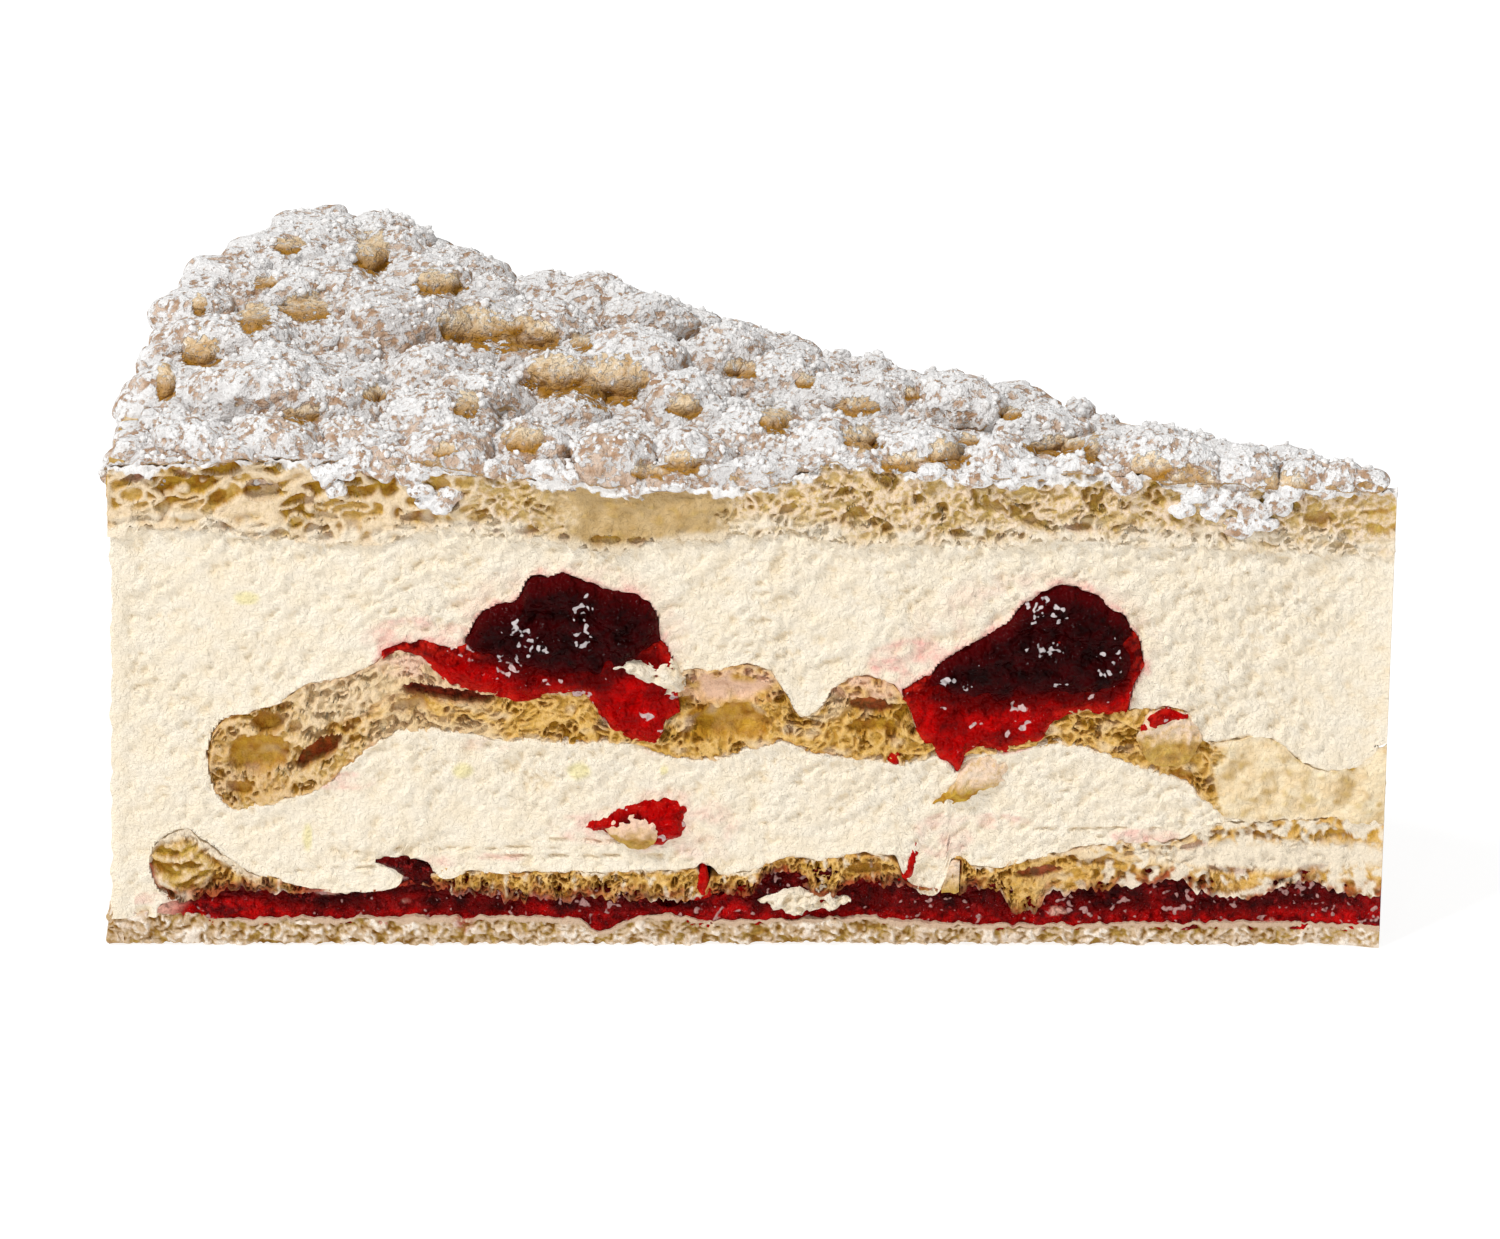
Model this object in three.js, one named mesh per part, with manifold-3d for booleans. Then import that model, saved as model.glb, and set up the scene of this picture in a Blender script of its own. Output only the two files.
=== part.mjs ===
// One slice of a flaky cream torte: a shortcrust base spread with red jam, three sheets of choux pastry,
// whipped cream between them, two rings of cherry filling on the middle sheet, and streusel crumbs on the top
// sheet. Units are millimetres, +Z is up. The near cut faces -Y, the torte's rim is at -X and the tip at +X.
// Every layer is worked out in the torte's own polar terms: r is the distance from the torte's centre, which is
// the tip of the slice, and t is the share of the slice's angle, 0 on the near cut and 1 on the far cut.
import * as THREE from 'three';
import { mergeVertices } from 'three/addons/utils/BufferGeometryUtils.js';
import Module from 'manifold-3d';

const wasm = await Module();
wasm.setup();

// Driving sizes of the torte and the slice
const TORTE_RADIUS = 140;
const SLICES_PER_TORTE = 12;
const SLICE_ANGLE = (2 * Math.PI) / SLICES_PER_TORTE;
const TIP_RADIUS = 1.2;
const RIM_LEAN = 0.00025;
const CLEARANCE = 0.35;

// Levels of the layers above the table, on the near cut
const BASE_TOP = 3.5;
const JAM_TOP = 6.8;
const LOWER_CHOUX_TOP = 9.4;
const MIDDLE_CHOUX_TOP = 29.6;
const MIDDLE_CHOUX_BOTTOM = 24.4;
const CREAM_TOP = 49;
const TOP_CHOUX_TOP = 55.6;
const STREUSEL_BED_TOP = 57.4;
const STREUSEL_PEAK = 63.5;

// Where each layer stops short of the rim
const CREAM_RADIUS = TORTE_RADIUS - 0.4;
const JAM_RADIUS = 130;
const LOWER_CHOUX_RADIUS = 134.5;
const MIDDLE_CHOUX_RADIUS = 128.5;
const END_ROUNDING = 4;

// The mesh steps of a wavy layer and of a plain one along the radius, and of both round the arc
const RADIAL_STEPS = 30;
const PLAIN_STEPS = 16;
const ARC_STEPS = 4;
const END_CROWDING = 0.15;

// How far a shape that is taken away reaches past each cut, as a share of the slice's angle
const OVERCUT = 0.25;

const CREAM_COLOUR = 0xf7ecd2;
const CHOUX_COLOUR = 0xdcb877;
const SHORTCRUST_COLOUR = 0xdcc59a;
const STREUSEL_COLOUR = 0xe9dcc8;
const JAM_COLOUR = 0x6a0a12;
const JELLY_COLOUR = 0xa80d12;
const CHERRY_COLOUR = 0x2a060c;

// A point of the slice. The torte narrows a little towards its top.
function place(r, t, z) {
  const radius = r * (1 - RIM_LEAN * z);
  const angle = t * SLICE_ANGLE;
  return new THREE.Vector3(-radius * Math.cos(angle), radius * Math.sin(angle), z);
}

function randomSource(seed) {
  let state = seed;
  return () => {
    state = (state + 0x6d2b79f5) | 0;
    let mixed = Math.imul(state ^ (state >>> 15), 1 | state);
    mixed = (mixed + Math.imul(mixed ^ (mixed >>> 7), 61 | mixed)) ^ mixed;
    return ((mixed ^ (mixed >>> 14)) >>> 0) / 4294967296;
  };
}

// A flat-topped bump, 1 in the middle and nearly 0 a little beyond x = 1
const bell = (x) => Math.exp(-(Math.abs(x) ** 3));

// Height at (r, t) of swells and dips, each { r, reach, rise } across the radius. One with a place t and an
// arc length stays near that place, and one without runs round the torte, as the edge of a baked sheet does.
function swells(features, r, t) {
  return features.reduce((sum, feature) => {
    const across = bell((r - feature.r) / feature.reach);
    const along = feature.arc ? bell(((t - feature.t) * SLICE_ANGLE * r) / feature.arc) : 1;
    return sum + feature.rise * across * along;
  }, 0);
}

// The slow unevenness of a spread or baked layer, about one unit high
function ripple(r, t, phase) {
  const arc = t * SLICE_ANGLE * r;
  return 0.5 * Math.sin(r / 5.3 + phase) * Math.cos(arc / 7.1 + 2 * phase)
    + 0.3 * Math.sin(r / 2.9 - arc / 6.3 + 3 * phase)
    + 0.2 * Math.cos(arc / 3.7 + phase - r / 11);
}

// 1 along most of a sheet, falling in a quarter circle to a blunt edge at its outer radius
function roundedEnd(r, outerRadius) {
  const into = THREE.MathUtils.clamp((r - (outerRadius - END_ROUNDING)) / END_ROUNDING, 0, 0.97);
  return Math.sqrt(1 - into * into);
}

const crowdEnds = (u) => u - (END_CROWDING * Math.sin(2 * Math.PI * u)) / (2 * Math.PI);

function solidOf(geometry) {
  const bare = geometry.index ? geometry.toNonIndexed() : geometry.clone();
  bare.deleteAttribute('normal');
  bare.deleteAttribute('uv');
  const merged = mergeVertices(bare, 1e-4);
  return new wasm.Manifold(new wasm.Mesh({
    numProp: 3,
    vertProperties: new Float32Array(merged.attributes.position.array),
    triVerts: new Uint32Array(merged.index.array),
  }));
}

// A box of many faces bent into a wedge-shaped layer between two surfaces
function layer({ outer, bottom, top, inner = TIP_RADIUS, radialSteps = RADIAL_STEPS }) {
  return bentBox({ outer, bottom, top, inner, radialSteps }, 0, 0);
}

// The same layer swollen by the clearance, with one more row of faces past each cut and each end, so that it
// can be taken away from a neighbour and leaves the same surface, the clearance apart
function space({ outer, bottom, top, inner = TIP_RADIUS, radialSteps = RADIAL_STEPS }) {
  return bentBox({ outer, bottom, top, inner, radialSteps }, CLEARANCE, 1);
}

function bentBox({ outer, bottom, top, inner, radialSteps }, margin, extraRows) {
  const rows = radialSteps + 2 * extraRows;
  const columns = ARC_STEPS + 2 * extraRows;
  const geometry = new THREE.BoxGeometry(1, 1, 1, rows, columns, 1);
  const position = geometry.attributes.position;
  for (let i = 0; i < position.count; i++) {
    const row = Math.round((0.5 - position.getX(i)) * rows) - extraRows;
    const column = Math.round((0.5 + position.getY(i)) * columns) - extraRows;
    const along = crowdEnds(THREE.MathUtils.clamp(row / radialSteps, 0, 1));
    const r = THREE.MathUtils.lerp(inner, outer, along);
    const t = THREE.MathUtils.clamp(column / ARC_STEPS, 0, 1);
    const z = position.getZ(i) > 0 ? top(r, t) + margin : bottom(r, t) - margin;
    const endShift = row < 0 ? -Math.min(margin, 0.6 * inner) : row > radialSteps ? margin : 0;
    const cutShift = column < 0 ? -OVERCUT : column > ARC_STEPS ? OVERCUT : 0;
    position.setXYZ(i, ...place(r + endShift, t + cutShift, z));
  }
  return solidOf(geometry);
}

// A rounded lump: a sphere stretched to three half-widths, tilted across the radius, with a lightly dented skin
function lump({ r, t, z, half, tilt = 0, dents = 0.06, sides = 14 }, margin = 0) {
  const geometry = new THREE.SphereGeometry(1, sides, Math.round(sides * 0.7));
  const position = geometry.attributes.position;
  const point = new THREE.Vector3();
  for (let i = 0; i < position.count; i++) {
    point.fromBufferAttribute(position, i);
    const dent = 1 + dents * Math.sin(5 * point.x + 3 * point.z + r) * Math.cos(4 * point.y + 2 * point.z);
    point.multiplyScalar(dent);
    point.set(point.x * (half[0] + margin), point.y * (half[1] + margin), point.z * (half[2] + margin));
    position.setXYZ(i, ...point);
  }
  const centre = place(r, t, z);
  geometry.rotateY(THREE.MathUtils.degToRad(tilt));
  geometry.rotateZ(-t * SLICE_ANGLE);
  geometry.translate(centre.x, centre.y, centre.z);
  return solidOf(geometry);
}

// The wedge that the two cuts leave, from the table to above the highest crumb
const SLICE_SPACE = layer({
  outer: TORTE_RADIUS, radialSteps: PLAIN_STEPS, bottom: () => 0, top: () => STREUSEL_PEAK,
});

// Shortcrust base: rolled flat, baked and a little uneven on top, with one dent that the jam runs into
const BASE_SWELLS = [
  { r: 86, reach: 4, rise: -1.1, t: 0, arc: 6 },
  { r: 134, reach: 5, rise: 0.5 },
];
const shortcrust = {
  outer: TORTE_RADIUS,
  radialSteps: PLAIN_STEPS,
  bottom: () => 0,
  top: (r, t) => BASE_TOP + 0.25 * ripple(r, t, 0.4) + swells(BASE_SWELLS, r, t),
};

// Red jam between the base and the lower choux sheet, squeezed up where the sheet arches
const JAM_SWELLS = [
  { r: 108, reach: 3.5, rise: 2.4, t: 0, arc: 8 },
  { r: 84, reach: 7, rise: -0.9, t: 0, arc: 16 },
  { r: 63, reach: 7, rise: 1.6, t: 0, arc: 12 },
  { r: 27, reach: 7, rise: 1.6, t: 0, arc: 10 },
  { r: 17, reach: 3, rise: -1.2, t: 0, arc: 6 },
  { r: 95, reach: 9, rise: 1.4, t: 1, arc: 12 },
  { r: 50, reach: 8, rise: 1.2, t: 1, arc: 10 },
];
const jam = {
  outer: JAM_RADIUS,
  bottom: () => BASE_TOP - 1.6,
  top: (r, t) => {
    const spread = JAM_TOP + 0.5 * ripple(r, t, 1.7) + swells(JAM_SWELLS, r, t);
    return THREE.MathUtils.lerp(BASE_TOP + 0.7, spread, roundedEnd(r, JAM_RADIUS));
  },
};

// Lower choux sheet, with its rim curled up
const LOWER_CHOUX_SWELLS = [
  { r: 129.5, reach: 4.2, rise: 4.2 },
  { r: 116, reach: 6, rise: -1.3, t: 0, arc: 14 },
  { r: 108, reach: 3.5, rise: 2.1, t: 0, arc: 8 },
  { r: 61, reach: 8, rise: 1.8, t: 0, arc: 14 },
  { r: 27, reach: 8, rise: 3.2, t: 0, arc: 12 },
  { r: 12, reach: 5, rise: 1.6 },
  { r: 95, reach: 9, rise: 2.2, t: 1, arc: 12 },
  { r: 50, reach: 8, rise: 2, t: 1, arc: 10 },
];
const lowerChoux = {
  outer: LOWER_CHOUX_RADIUS,
  bottom: (r) => THREE.MathUtils.lerp(6.2, 4.4, roundedEnd(r, LOWER_CHOUX_RADIUS)),
  top: (r, t) => {
    const baked = LOWER_CHOUX_TOP + 0.8 * ripple(r, t, 2.9) + swells(LOWER_CHOUX_SWELLS, r, t);
    return THREE.MathUtils.lerp(6.8, baked, roundedEnd(r, LOWER_CHOUX_RADIUS));
  },
};

// The cream runs through a break in the lower sheet down to the jam
const LOWER_SHEET_BREAK = { r: 51, t: 0, z: 9.5, half: [2.4, 7, 4.4], dents: 0.15, sides: 10 };

// Middle choux sheet: a fat puffed end near the rim, a bubble at half radius, and a thick puffed end at the tip
const MIDDLE_TOP_SWELLS = [
  { r: 106, reach: 7, rise: 3.2, t: 0, arc: 22 },
  { r: 79.5, reach: 3.4, rise: -3.4, t: 0, arc: 8 },
  { r: 71.5, reach: 5, rise: 4.2, t: 0, arc: 9 },
  { r: 47, reach: 7.5, rise: -5.4, t: 0, arc: 16 },
  { r: 14, reach: 8, rise: -3.6 },
  { r: 100, reach: 9, rise: -2, t: 1, arc: 14 },
  { r: 66, reach: 7, rise: 3.4, t: 1, arc: 12 },
  { r: 47, reach: 6, rise: -2.5, t: 1, arc: 10 },
];
const MIDDLE_BOTTOM_SWELLS = [
  { r: 123, reach: 8, rise: -6.6 },
  { r: 106, reach: 6, rise: 2.4, t: 0, arc: 22 },
  { r: 46, reach: 4, rise: -4.8, t: 0, arc: 10 },
  { r: 5, reach: 14, rise: -11 },
  { r: 98, reach: 9, rise: -2.2, t: 1, arc: 14 },
];
const middleChoux = {
  outer: MIDDLE_CHOUX_RADIUS,
  bottom: (r, t) => {
    const baked = MIDDLE_CHOUX_BOTTOM + 0.7 * ripple(r, t, 4.1) + swells(MIDDLE_BOTTOM_SWELLS, r, t);
    return THREE.MathUtils.lerp(22, baked, roundedEnd(r, MIDDLE_CHOUX_RADIUS));
  },
  top: (r, t) => {
    const baked = MIDDLE_CHOUX_TOP + 0.8 * ripple(r, t, 5.6) + swells(MIDDLE_TOP_SWELLS, r, t);
    return THREE.MathUtils.lerp(23.5, baked, roundedEnd(r, MIDDLE_CHOUX_RADIUS));
  },
};

// Red cherry jelly lies on the middle sheet in two rings, and dark cherries sit in the jelly at each cut
const JELLY_RINGS = {
  jelly_ring_outer: { middle: 94, half: 16.5, crown: 36.2, sag: 5.5 },
  jelly_ring_inner: { middle: 40.5, half: 12.8, crown: 36, sag: 5 },
};
const JELLY_STEPS = 10;
function jellyRing({ middle, half, crown, sag }) {
  return {
    inner: middle - half,
    outer: middle + half,
    radialSteps: JELLY_STEPS,
    bottom: (r, t) => (middleChoux.bottom(r, t) + middleChoux.top(r, t)) / 2,
    top: (r, t) => crown - sag * ((r - middle) / half) ** 4 + 0.6 * ripple(r, t, middle),
  };
}
const CHERRIES = {
  cherry_outer_near: { r: 90.5, t: 0.025, z: 37.4, half: [10.6, 8.5, 6.6], tilt: 6 },
  cherry_outer_far: { r: 92, t: 0.975, z: 37.2, half: [10, 8.5, 6.4], tilt: -8 },
  cherry_inner_near: { r: 40, t: 0.04, z: 36.9, half: [11.6, 7.4, 6.2], tilt: -16 },
  cherry_inner_far: { r: 41, t: 0.96, z: 37, half: [10.4, 7.4, 6.2], tilt: 10 },
};

// A stray spoonful of jelly in the lower cream, and a stray blob of cream in the jam, both cut open
const JELLY_POCKET = { r: 80.5, t: 0, z: 15, half: [4.8, 4.5, 2.7], tilt: 12, sides: 12 };
const CREAM_BLOB = { r: 64, t: 0, z: 6, half: [5.2, 3.5, 1.7], dents: 0.12, sides: 12 };

// Top choux sheet, under the streusel
const TOP_BOTTOM_SWELLS = [
  { r: 118, reach: 12, rise: 1.5, t: 0, arc: 20 },
  { r: 86, reach: 5, rise: -1.6, t: 0, arc: 12 },
  { r: 60, reach: 8, rise: -1, t: 0, arc: 14 },
  { r: 8, reach: 8, rise: -1.5 },
];
const topChoux = {
  outer: TORTE_RADIUS - 0.3,
  bottom: (r, t) => CREAM_TOP + 0.7 * ripple(r, t, 6.6) + swells(TOP_BOTTOM_SWELLS, r, t),
  top: (r, t) => TOP_CHOUX_TOP + 0.8 * ripple(r, t, 7.9) + swells(STREUSEL_SWELLS, r, t) / 2,
};

// Streusel: a bed of fine crumbs with the larger ones baked into it, heaped a little higher near the rim
const STREUSEL_SWELLS = [
  { r: 124, reach: 14, rise: 1.4, t: 0.75, arc: 26 },
  { r: 90, reach: 12, rise: 0.9, t: 0.5, arc: 16 },
  { r: 22, reach: 18, rise: -1 },
];
const streuselBed = {
  outer: TORTE_RADIUS - 1.2,
  radialSteps: PLAIN_STEPS,
  bottom: () => CREAM_TOP + 3,
  top: (r, t) => STREUSEL_BED_TOP + 0.9 * ripple(r, t, 9.2) + swells(STREUSEL_SWELLS, r, t),
};
const CRUMB_RINGS = 17;
const CRUMB_SPACING = (TORTE_RADIUS - 4.5) / CRUMB_RINGS;
const CRUMB_RADIUS = { smallest: 2.6, largest: 5.4 };
const CRUMB_SEED = 7;

// One crumb: a twenty-sided lump, squashed and turned at random
function crumb(r, t, radius, random) {
  const geometry = new THREE.IcosahedronGeometry(radius, 0);
  geometry.scale(0.85 + 0.4 * random(), 0.8 + 0.3 * random(), 0.7 + 0.2 * random());
  geometry.rotateX((random() - 0.5) * 0.9);
  geometry.rotateZ(random() * Math.PI);
  const height = streuselBed.top(r, t) + radius * (0.4 * random() - 0.05);
  const centre = place(r, t, Math.min(height, STREUSEL_PEAK - 0.9 * radius));
  geometry.translate(centre.x, centre.y, centre.z);
  return solidOf(geometry);
}

// The crumbs stand in rings from the tip to the rim, each with a random shift, large and small mixed
function crumbs() {
  const random = randomSource(CRUMB_SEED);
  const made = [];
  const { smallest, largest } = CRUMB_RADIUS;
  for (let ring = 1; ring <= CRUMB_RINGS; ring++) {
    const arc = ring * CRUMB_SPACING * SLICE_ANGLE;
    const count = Math.max(1, Math.round(arc / CRUMB_SPACING));
    for (let i = 0; i < count; i++) {
      const t = (i + 0.5 + 0.5 * (random() - 0.5)) / count;
      const r = (ring + 0.5 * (random() - 0.5)) * CRUMB_SPACING;
      const radius = Math.min(THREE.MathUtils.lerp(smallest, largest, random() ** 1.4), 0.6 * arc);
      made.push(crumb(r, t, radius, random));
    }
  }
  return made;
}

function meshOf(name, solid, colour, roughness) {
  const { vertProperties, triVerts } = solid.getMesh();
  const geometry = new THREE.BufferGeometry();
  geometry.setAttribute('position', new THREE.BufferAttribute(new Float32Array(vertProperties), 3));
  geometry.setIndex(new THREE.BufferAttribute(new Uint32Array(triVerts), 1));
  const material = new THREE.MeshStandardMaterial({ color: colour, roughness, metalness: 0 });
  const mesh = new THREE.Mesh(geometry, material);
  mesh.name = name;
  return mesh;
}

// The largest connected piece, without scraps that a cut leaves behind
function mainPiece(solid) {
  return solid.decompose().reduce((best, piece) => (piece.volume() > best.volume() ? piece : best));
}

const takeAway = (solid, ...cutters) => cutters.reduce((rest, cutter) => rest.subtract(cutter), solid);

const slice = new THREE.Group();
const add = (name, solid, colour, roughness) => slice.add(meshOf(name, mainPiece(solid), colour, roughness));

const baseSolid = layer(shortcrust);
add('shortcrust_base', baseSolid, SHORTCRUST_COLOUR, 0.85);

const creamBlob = lump(CREAM_BLOB).intersect(SLICE_SPACE);
const creamBlobSpace = lump(CREAM_BLOB, CLEARANCE);
const jamSolid = takeAway(layer(jam), space(shortcrust), creamBlobSpace);
add('jam_layer', jamSolid, JAM_COLOUR, 0.2);
add('cream_blob', takeAway(creamBlob, space(shortcrust)), CREAM_COLOUR, 0.6);

const breakSpace = lump(LOWER_SHEET_BREAK);
const jamSpace = space(jam);
const lowerSolid = takeAway(layer(lowerChoux), space(shortcrust), jamSpace, creamBlobSpace, breakSpace);
add('choux_lower', lowerSolid, CHOUX_COLOUR, 0.8);

add('choux_middle', layer(middleChoux), CHOUX_COLOUR, 0.8);

const middleSpace = space(middleChoux);
const cherrySpaces = Object.values(CHERRIES).map((cherry) => lump(cherry, CLEARANCE));
const jellySpaces = [];
for (const [name, ring] of Object.entries(JELLY_RINGS)) {
  const shape = jellyRing(ring);
  add(name, takeAway(layer(shape), middleSpace, ...cherrySpaces), JELLY_COLOUR, 0.15);
  jellySpaces.push(space(shape));
}
for (const [name, cherry] of Object.entries(CHERRIES)) {
  add(name, takeAway(lump(cherry).intersect(SLICE_SPACE), middleSpace), CHERRY_COLOUR, 0.15);
}
add('jelly_pocket', lump(JELLY_POCKET).intersect(SLICE_SPACE), JELLY_COLOUR, 0.15);

const topSpace = space(topChoux);
const lowerSpace = takeAway(space(lowerChoux), lump(LOWER_SHEET_BREAK, -CLEARANCE));
const creamBlock = layer({
  outer: CREAM_RADIUS, radialSteps: PLAIN_STEPS, bottom: () => BASE_TOP - 1.6, top: () => CREAM_TOP + 2.5,
});
const creamSolid = takeAway(
  creamBlock, space(shortcrust), jamSpace, lowerSpace, creamBlobSpace, middleSpace,
  ...jellySpaces, ...cherrySpaces, lump(JELLY_POCKET, CLEARANCE), topSpace,
);
add('cream_filling', creamSolid, CREAM_COLOUR, 0.6);

add('choux_top', layer(topChoux), CHOUX_COLOUR, 0.8);

const heap = crumbs().reduce((sum, piece) => sum.add(piece), layer(streuselBed));
add('streusel_topping', takeAway(heap.intersect(SLICE_SPACE), topSpace), STREUSEL_COLOUR, 0.9);

// The origin is under the middle of the slice's own box
const box = new THREE.Box3().setFromObject(slice);
const middle = box.getCenter(new THREE.Vector3());
slice.position.set(-middle.x, -middle.y, -box.min.z);

export default slice;
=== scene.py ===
"""One slice of a flaky cream torte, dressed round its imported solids. Lengths are in millimetres until a mesh
is written, and the slice is built up in the order in which a confectioner puts the torte together."""
import itertools
import math
from functools import partial

import bmesh
import bpy
import numpy as np
from mathutils import Euler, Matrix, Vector
from mathutils.bvhtree import BVHTree


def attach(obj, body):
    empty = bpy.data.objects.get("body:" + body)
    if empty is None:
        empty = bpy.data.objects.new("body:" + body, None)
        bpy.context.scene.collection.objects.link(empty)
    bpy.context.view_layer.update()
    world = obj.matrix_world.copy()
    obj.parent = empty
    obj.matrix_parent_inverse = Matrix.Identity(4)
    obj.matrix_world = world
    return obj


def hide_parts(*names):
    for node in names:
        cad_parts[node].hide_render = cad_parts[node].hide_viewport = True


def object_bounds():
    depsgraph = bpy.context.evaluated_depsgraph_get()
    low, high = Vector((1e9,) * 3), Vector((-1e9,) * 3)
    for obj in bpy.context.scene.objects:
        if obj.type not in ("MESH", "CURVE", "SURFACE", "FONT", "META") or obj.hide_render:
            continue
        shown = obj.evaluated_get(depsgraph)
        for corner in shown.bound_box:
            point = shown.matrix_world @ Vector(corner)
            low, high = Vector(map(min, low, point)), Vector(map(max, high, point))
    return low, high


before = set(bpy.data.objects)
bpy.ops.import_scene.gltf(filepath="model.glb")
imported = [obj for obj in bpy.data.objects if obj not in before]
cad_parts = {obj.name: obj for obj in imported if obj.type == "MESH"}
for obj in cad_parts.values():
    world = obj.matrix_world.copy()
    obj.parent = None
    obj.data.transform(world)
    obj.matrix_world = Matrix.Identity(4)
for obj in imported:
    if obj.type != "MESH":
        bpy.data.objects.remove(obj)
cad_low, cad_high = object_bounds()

# Shortcrust base. A thin round of sweet crumbly dough, rolled flat and baked dry, 3.5 mm thick, and sawn
# through with the torte, so that its cut is a rough row of pale grains. Jam has sunk into one dent in it.
SLICE_ANGLE = math.radians(30)
TORTE_RADIUS = 140
TIP_RADIUS = 1.2
RIM_LEAN = 0.00025
TORTE_CENTRE_X = cad_high.x * 1000 + TIP_RADIUS * math.cos(SLICE_ANGLE) * (1 - RIM_LEAN * cad_high.z * 1000)
NEAR_CUT_Y = cad_low.y * 1000
NEAR_INWARD = np.array([0, 1, 0])
FAR_INWARD = np.array([-math.sin(SLICE_ANGLE), -math.cos(SLICE_ANGLE), 0])
RIM_ARC = 73


def place(r, t, z):
    """Points of the slice from the distance to the torte's centre, the share of its angle and the height."""
    radius = r * (1 - RIM_LEAN * z)
    angle = t * SLICE_ANGLE
    x, y = TORTE_CENTRE_X - radius * np.cos(angle), NEAR_CUT_Y + radius * np.sin(angle)
    return np.stack([x, y, z + 0 * r], axis=-1)


def ramp(low, high, x):
    """0 below low, 1 above high and an even slide between, also where high is the smaller."""
    share = np.clip((x - low) / (high - low), 0, 1)
    return share * share * (3 - 2 * share)


def chance(cell, seed):
    """A repeatable number from 0 to 1 for each whole-numbered cell."""
    x, y, z = cell[..., 0], cell[..., 1], cell[..., 2]
    stirred = x * 374761393 + y * 668265263 + z * 1103515245 + seed * 974634777
    stirred &= 0xFFFFFFFF
    stirred = ((stirred ^ (stirred >> 13)) * 1274126177) & 0xFFFFFFFF
    return ((stirred ^ (stirred >> 16)) & 0xFFFFFF) / 0xFFFFFF


ARROWS = np.random.default_rng(5).normal(size=(64, 3))
ARROWS /= np.linalg.norm(ARROWS, axis=-1, keepdims=True)


def mottle(points, size, seed=0):
    """Soft lumps and dips of that size, from -1 to 1."""
    scaled = points / size
    base = np.floor(scaled).astype(np.int64)
    part = scaled - base
    smooth = part * part * (3 - 2 * part)
    total = np.zeros(len(points))
    for corner in itertools.product((0, 1), repeat=3):
        weight = np.prod(np.where(corner, smooth, 1 - smooth), axis=-1)
        arrow = ARROWS[(chance(base + np.array(corner), seed) * 63.9).astype(int)]
        total += weight * np.sum((part - corner) * arrow, axis=-1)
    return np.clip(1.5 * total, -1, 1)


def grains(points, size, seed=0):
    """Packed grains of that size: the distance to the nearest grain's middle, how far the next one is beyond
    it, and a number of that grain's own."""
    scaled = points / size
    base = np.floor(scaled).astype(np.int64)
    first = np.full(len(points), 9.0)
    second = first.copy()
    own = np.zeros(len(points))
    for step in itertools.product((-1, 0, 1), repeat=3):
        cell = base + np.array(step)
        middle = cell + np.stack([chance(cell, seed + k) for k in (1, 2, 3)], axis=-1)
        distance = np.linalg.norm(scaled - middle, axis=-1)
        closer = distance < first
        second = np.where(closer, first, np.minimum(second, distance))
        own = np.where(closer, chance(cell, seed + 4), own)
        first = np.where(closer, distance, first)
    return first, second - first, own


def line(*points):
    """A smooth line through (r, z) points, as a function of r."""
    r, z = np.array(sorted(points)).T
    slope = np.gradient(z, r) * 0.7

    def at(x):
        i = np.clip(np.searchsorted(r, x) - 1, 0, len(r) - 2)
        span = r[i + 1] - r[i]
        s = np.clip((x - r[i]) / span, 0, 1)
        rise = z[i] + (z[i + 1] - z[i]) * s * s * (3 - 2 * s)
        return rise + span * s * (1 - s) * (slope[i] * (1 - s) - slope[i + 1] * s)
    return at


def far_radius(r, side):
    """The far cut shows the same rings a little shifted, as two cuts through one torte do."""
    return r + side * 2.4 * np.sin(r / 13)


def fine_box(columns, rows, arcs):
    """A closed box of small faces, 1 by 1 by 1: x runs from tip to rim, y upwards and z from cut to cut."""
    bm = bmesh.new()
    bmesh.ops.create_grid(bm, x_segments=columns, y_segments=rows, size=0.5)
    bmesh.ops.translate(bm, verts=bm.verts, vec=(0.5, 0.5, 0))
    grown = bmesh.ops.extrude_face_region(bm, geom=bm.faces[:])
    far = [part for part in grown["geom"] if isinstance(part, bmesh.types.BMVert)]
    bmesh.ops.translate(bm, verts=far, vec=(0, 0, 1))
    rungs = [edge for edge in bm.edges if edge.verts[0].co.z != edge.verts[1].co.z]
    bmesh.ops.subdivide_edges(bm, edges=rungs, cuts=arcs - 1, use_grid_fill=True)
    bmesh.ops.recalc_face_normals(bm, faces=bm.faces)
    return bm


def mesh_of(name, bm):
    mesh = bpy.data.meshes.new(name)
    bm.to_mesh(mesh)
    bm.free()
    return mesh


def laid(mesh):
    """Lays a finished mesh in the slice as an object of its own name."""
    obj = bpy.data.objects.new(mesh.name, mesh)
    bpy.context.scene.collection.objects.link(obj)
    mesh.shade_smooth()
    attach(obj, "root")
    return obj


def read_points(mesh):
    flat = np.empty(len(mesh.vertices) * 3, np.float32)
    mesh.vertices.foreach_get("co", flat)
    return flat.reshape(-1, 3).astype(float)


def write_points(mesh, points):
    mesh.vertices.foreach_set("co", (points * 0.001).astype(np.float32).ravel())
    mesh.update()


def paint(mesh, shares):
    """Keeps how much of each finish shows at each point, for the material to read."""
    for name, values in shares.items():
        painted = mesh.attributes.new(name, "FLOAT", "POINT")
        painted.data.foreach_set("value", np.clip(values, 0, 1).astype(np.float32))


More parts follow.
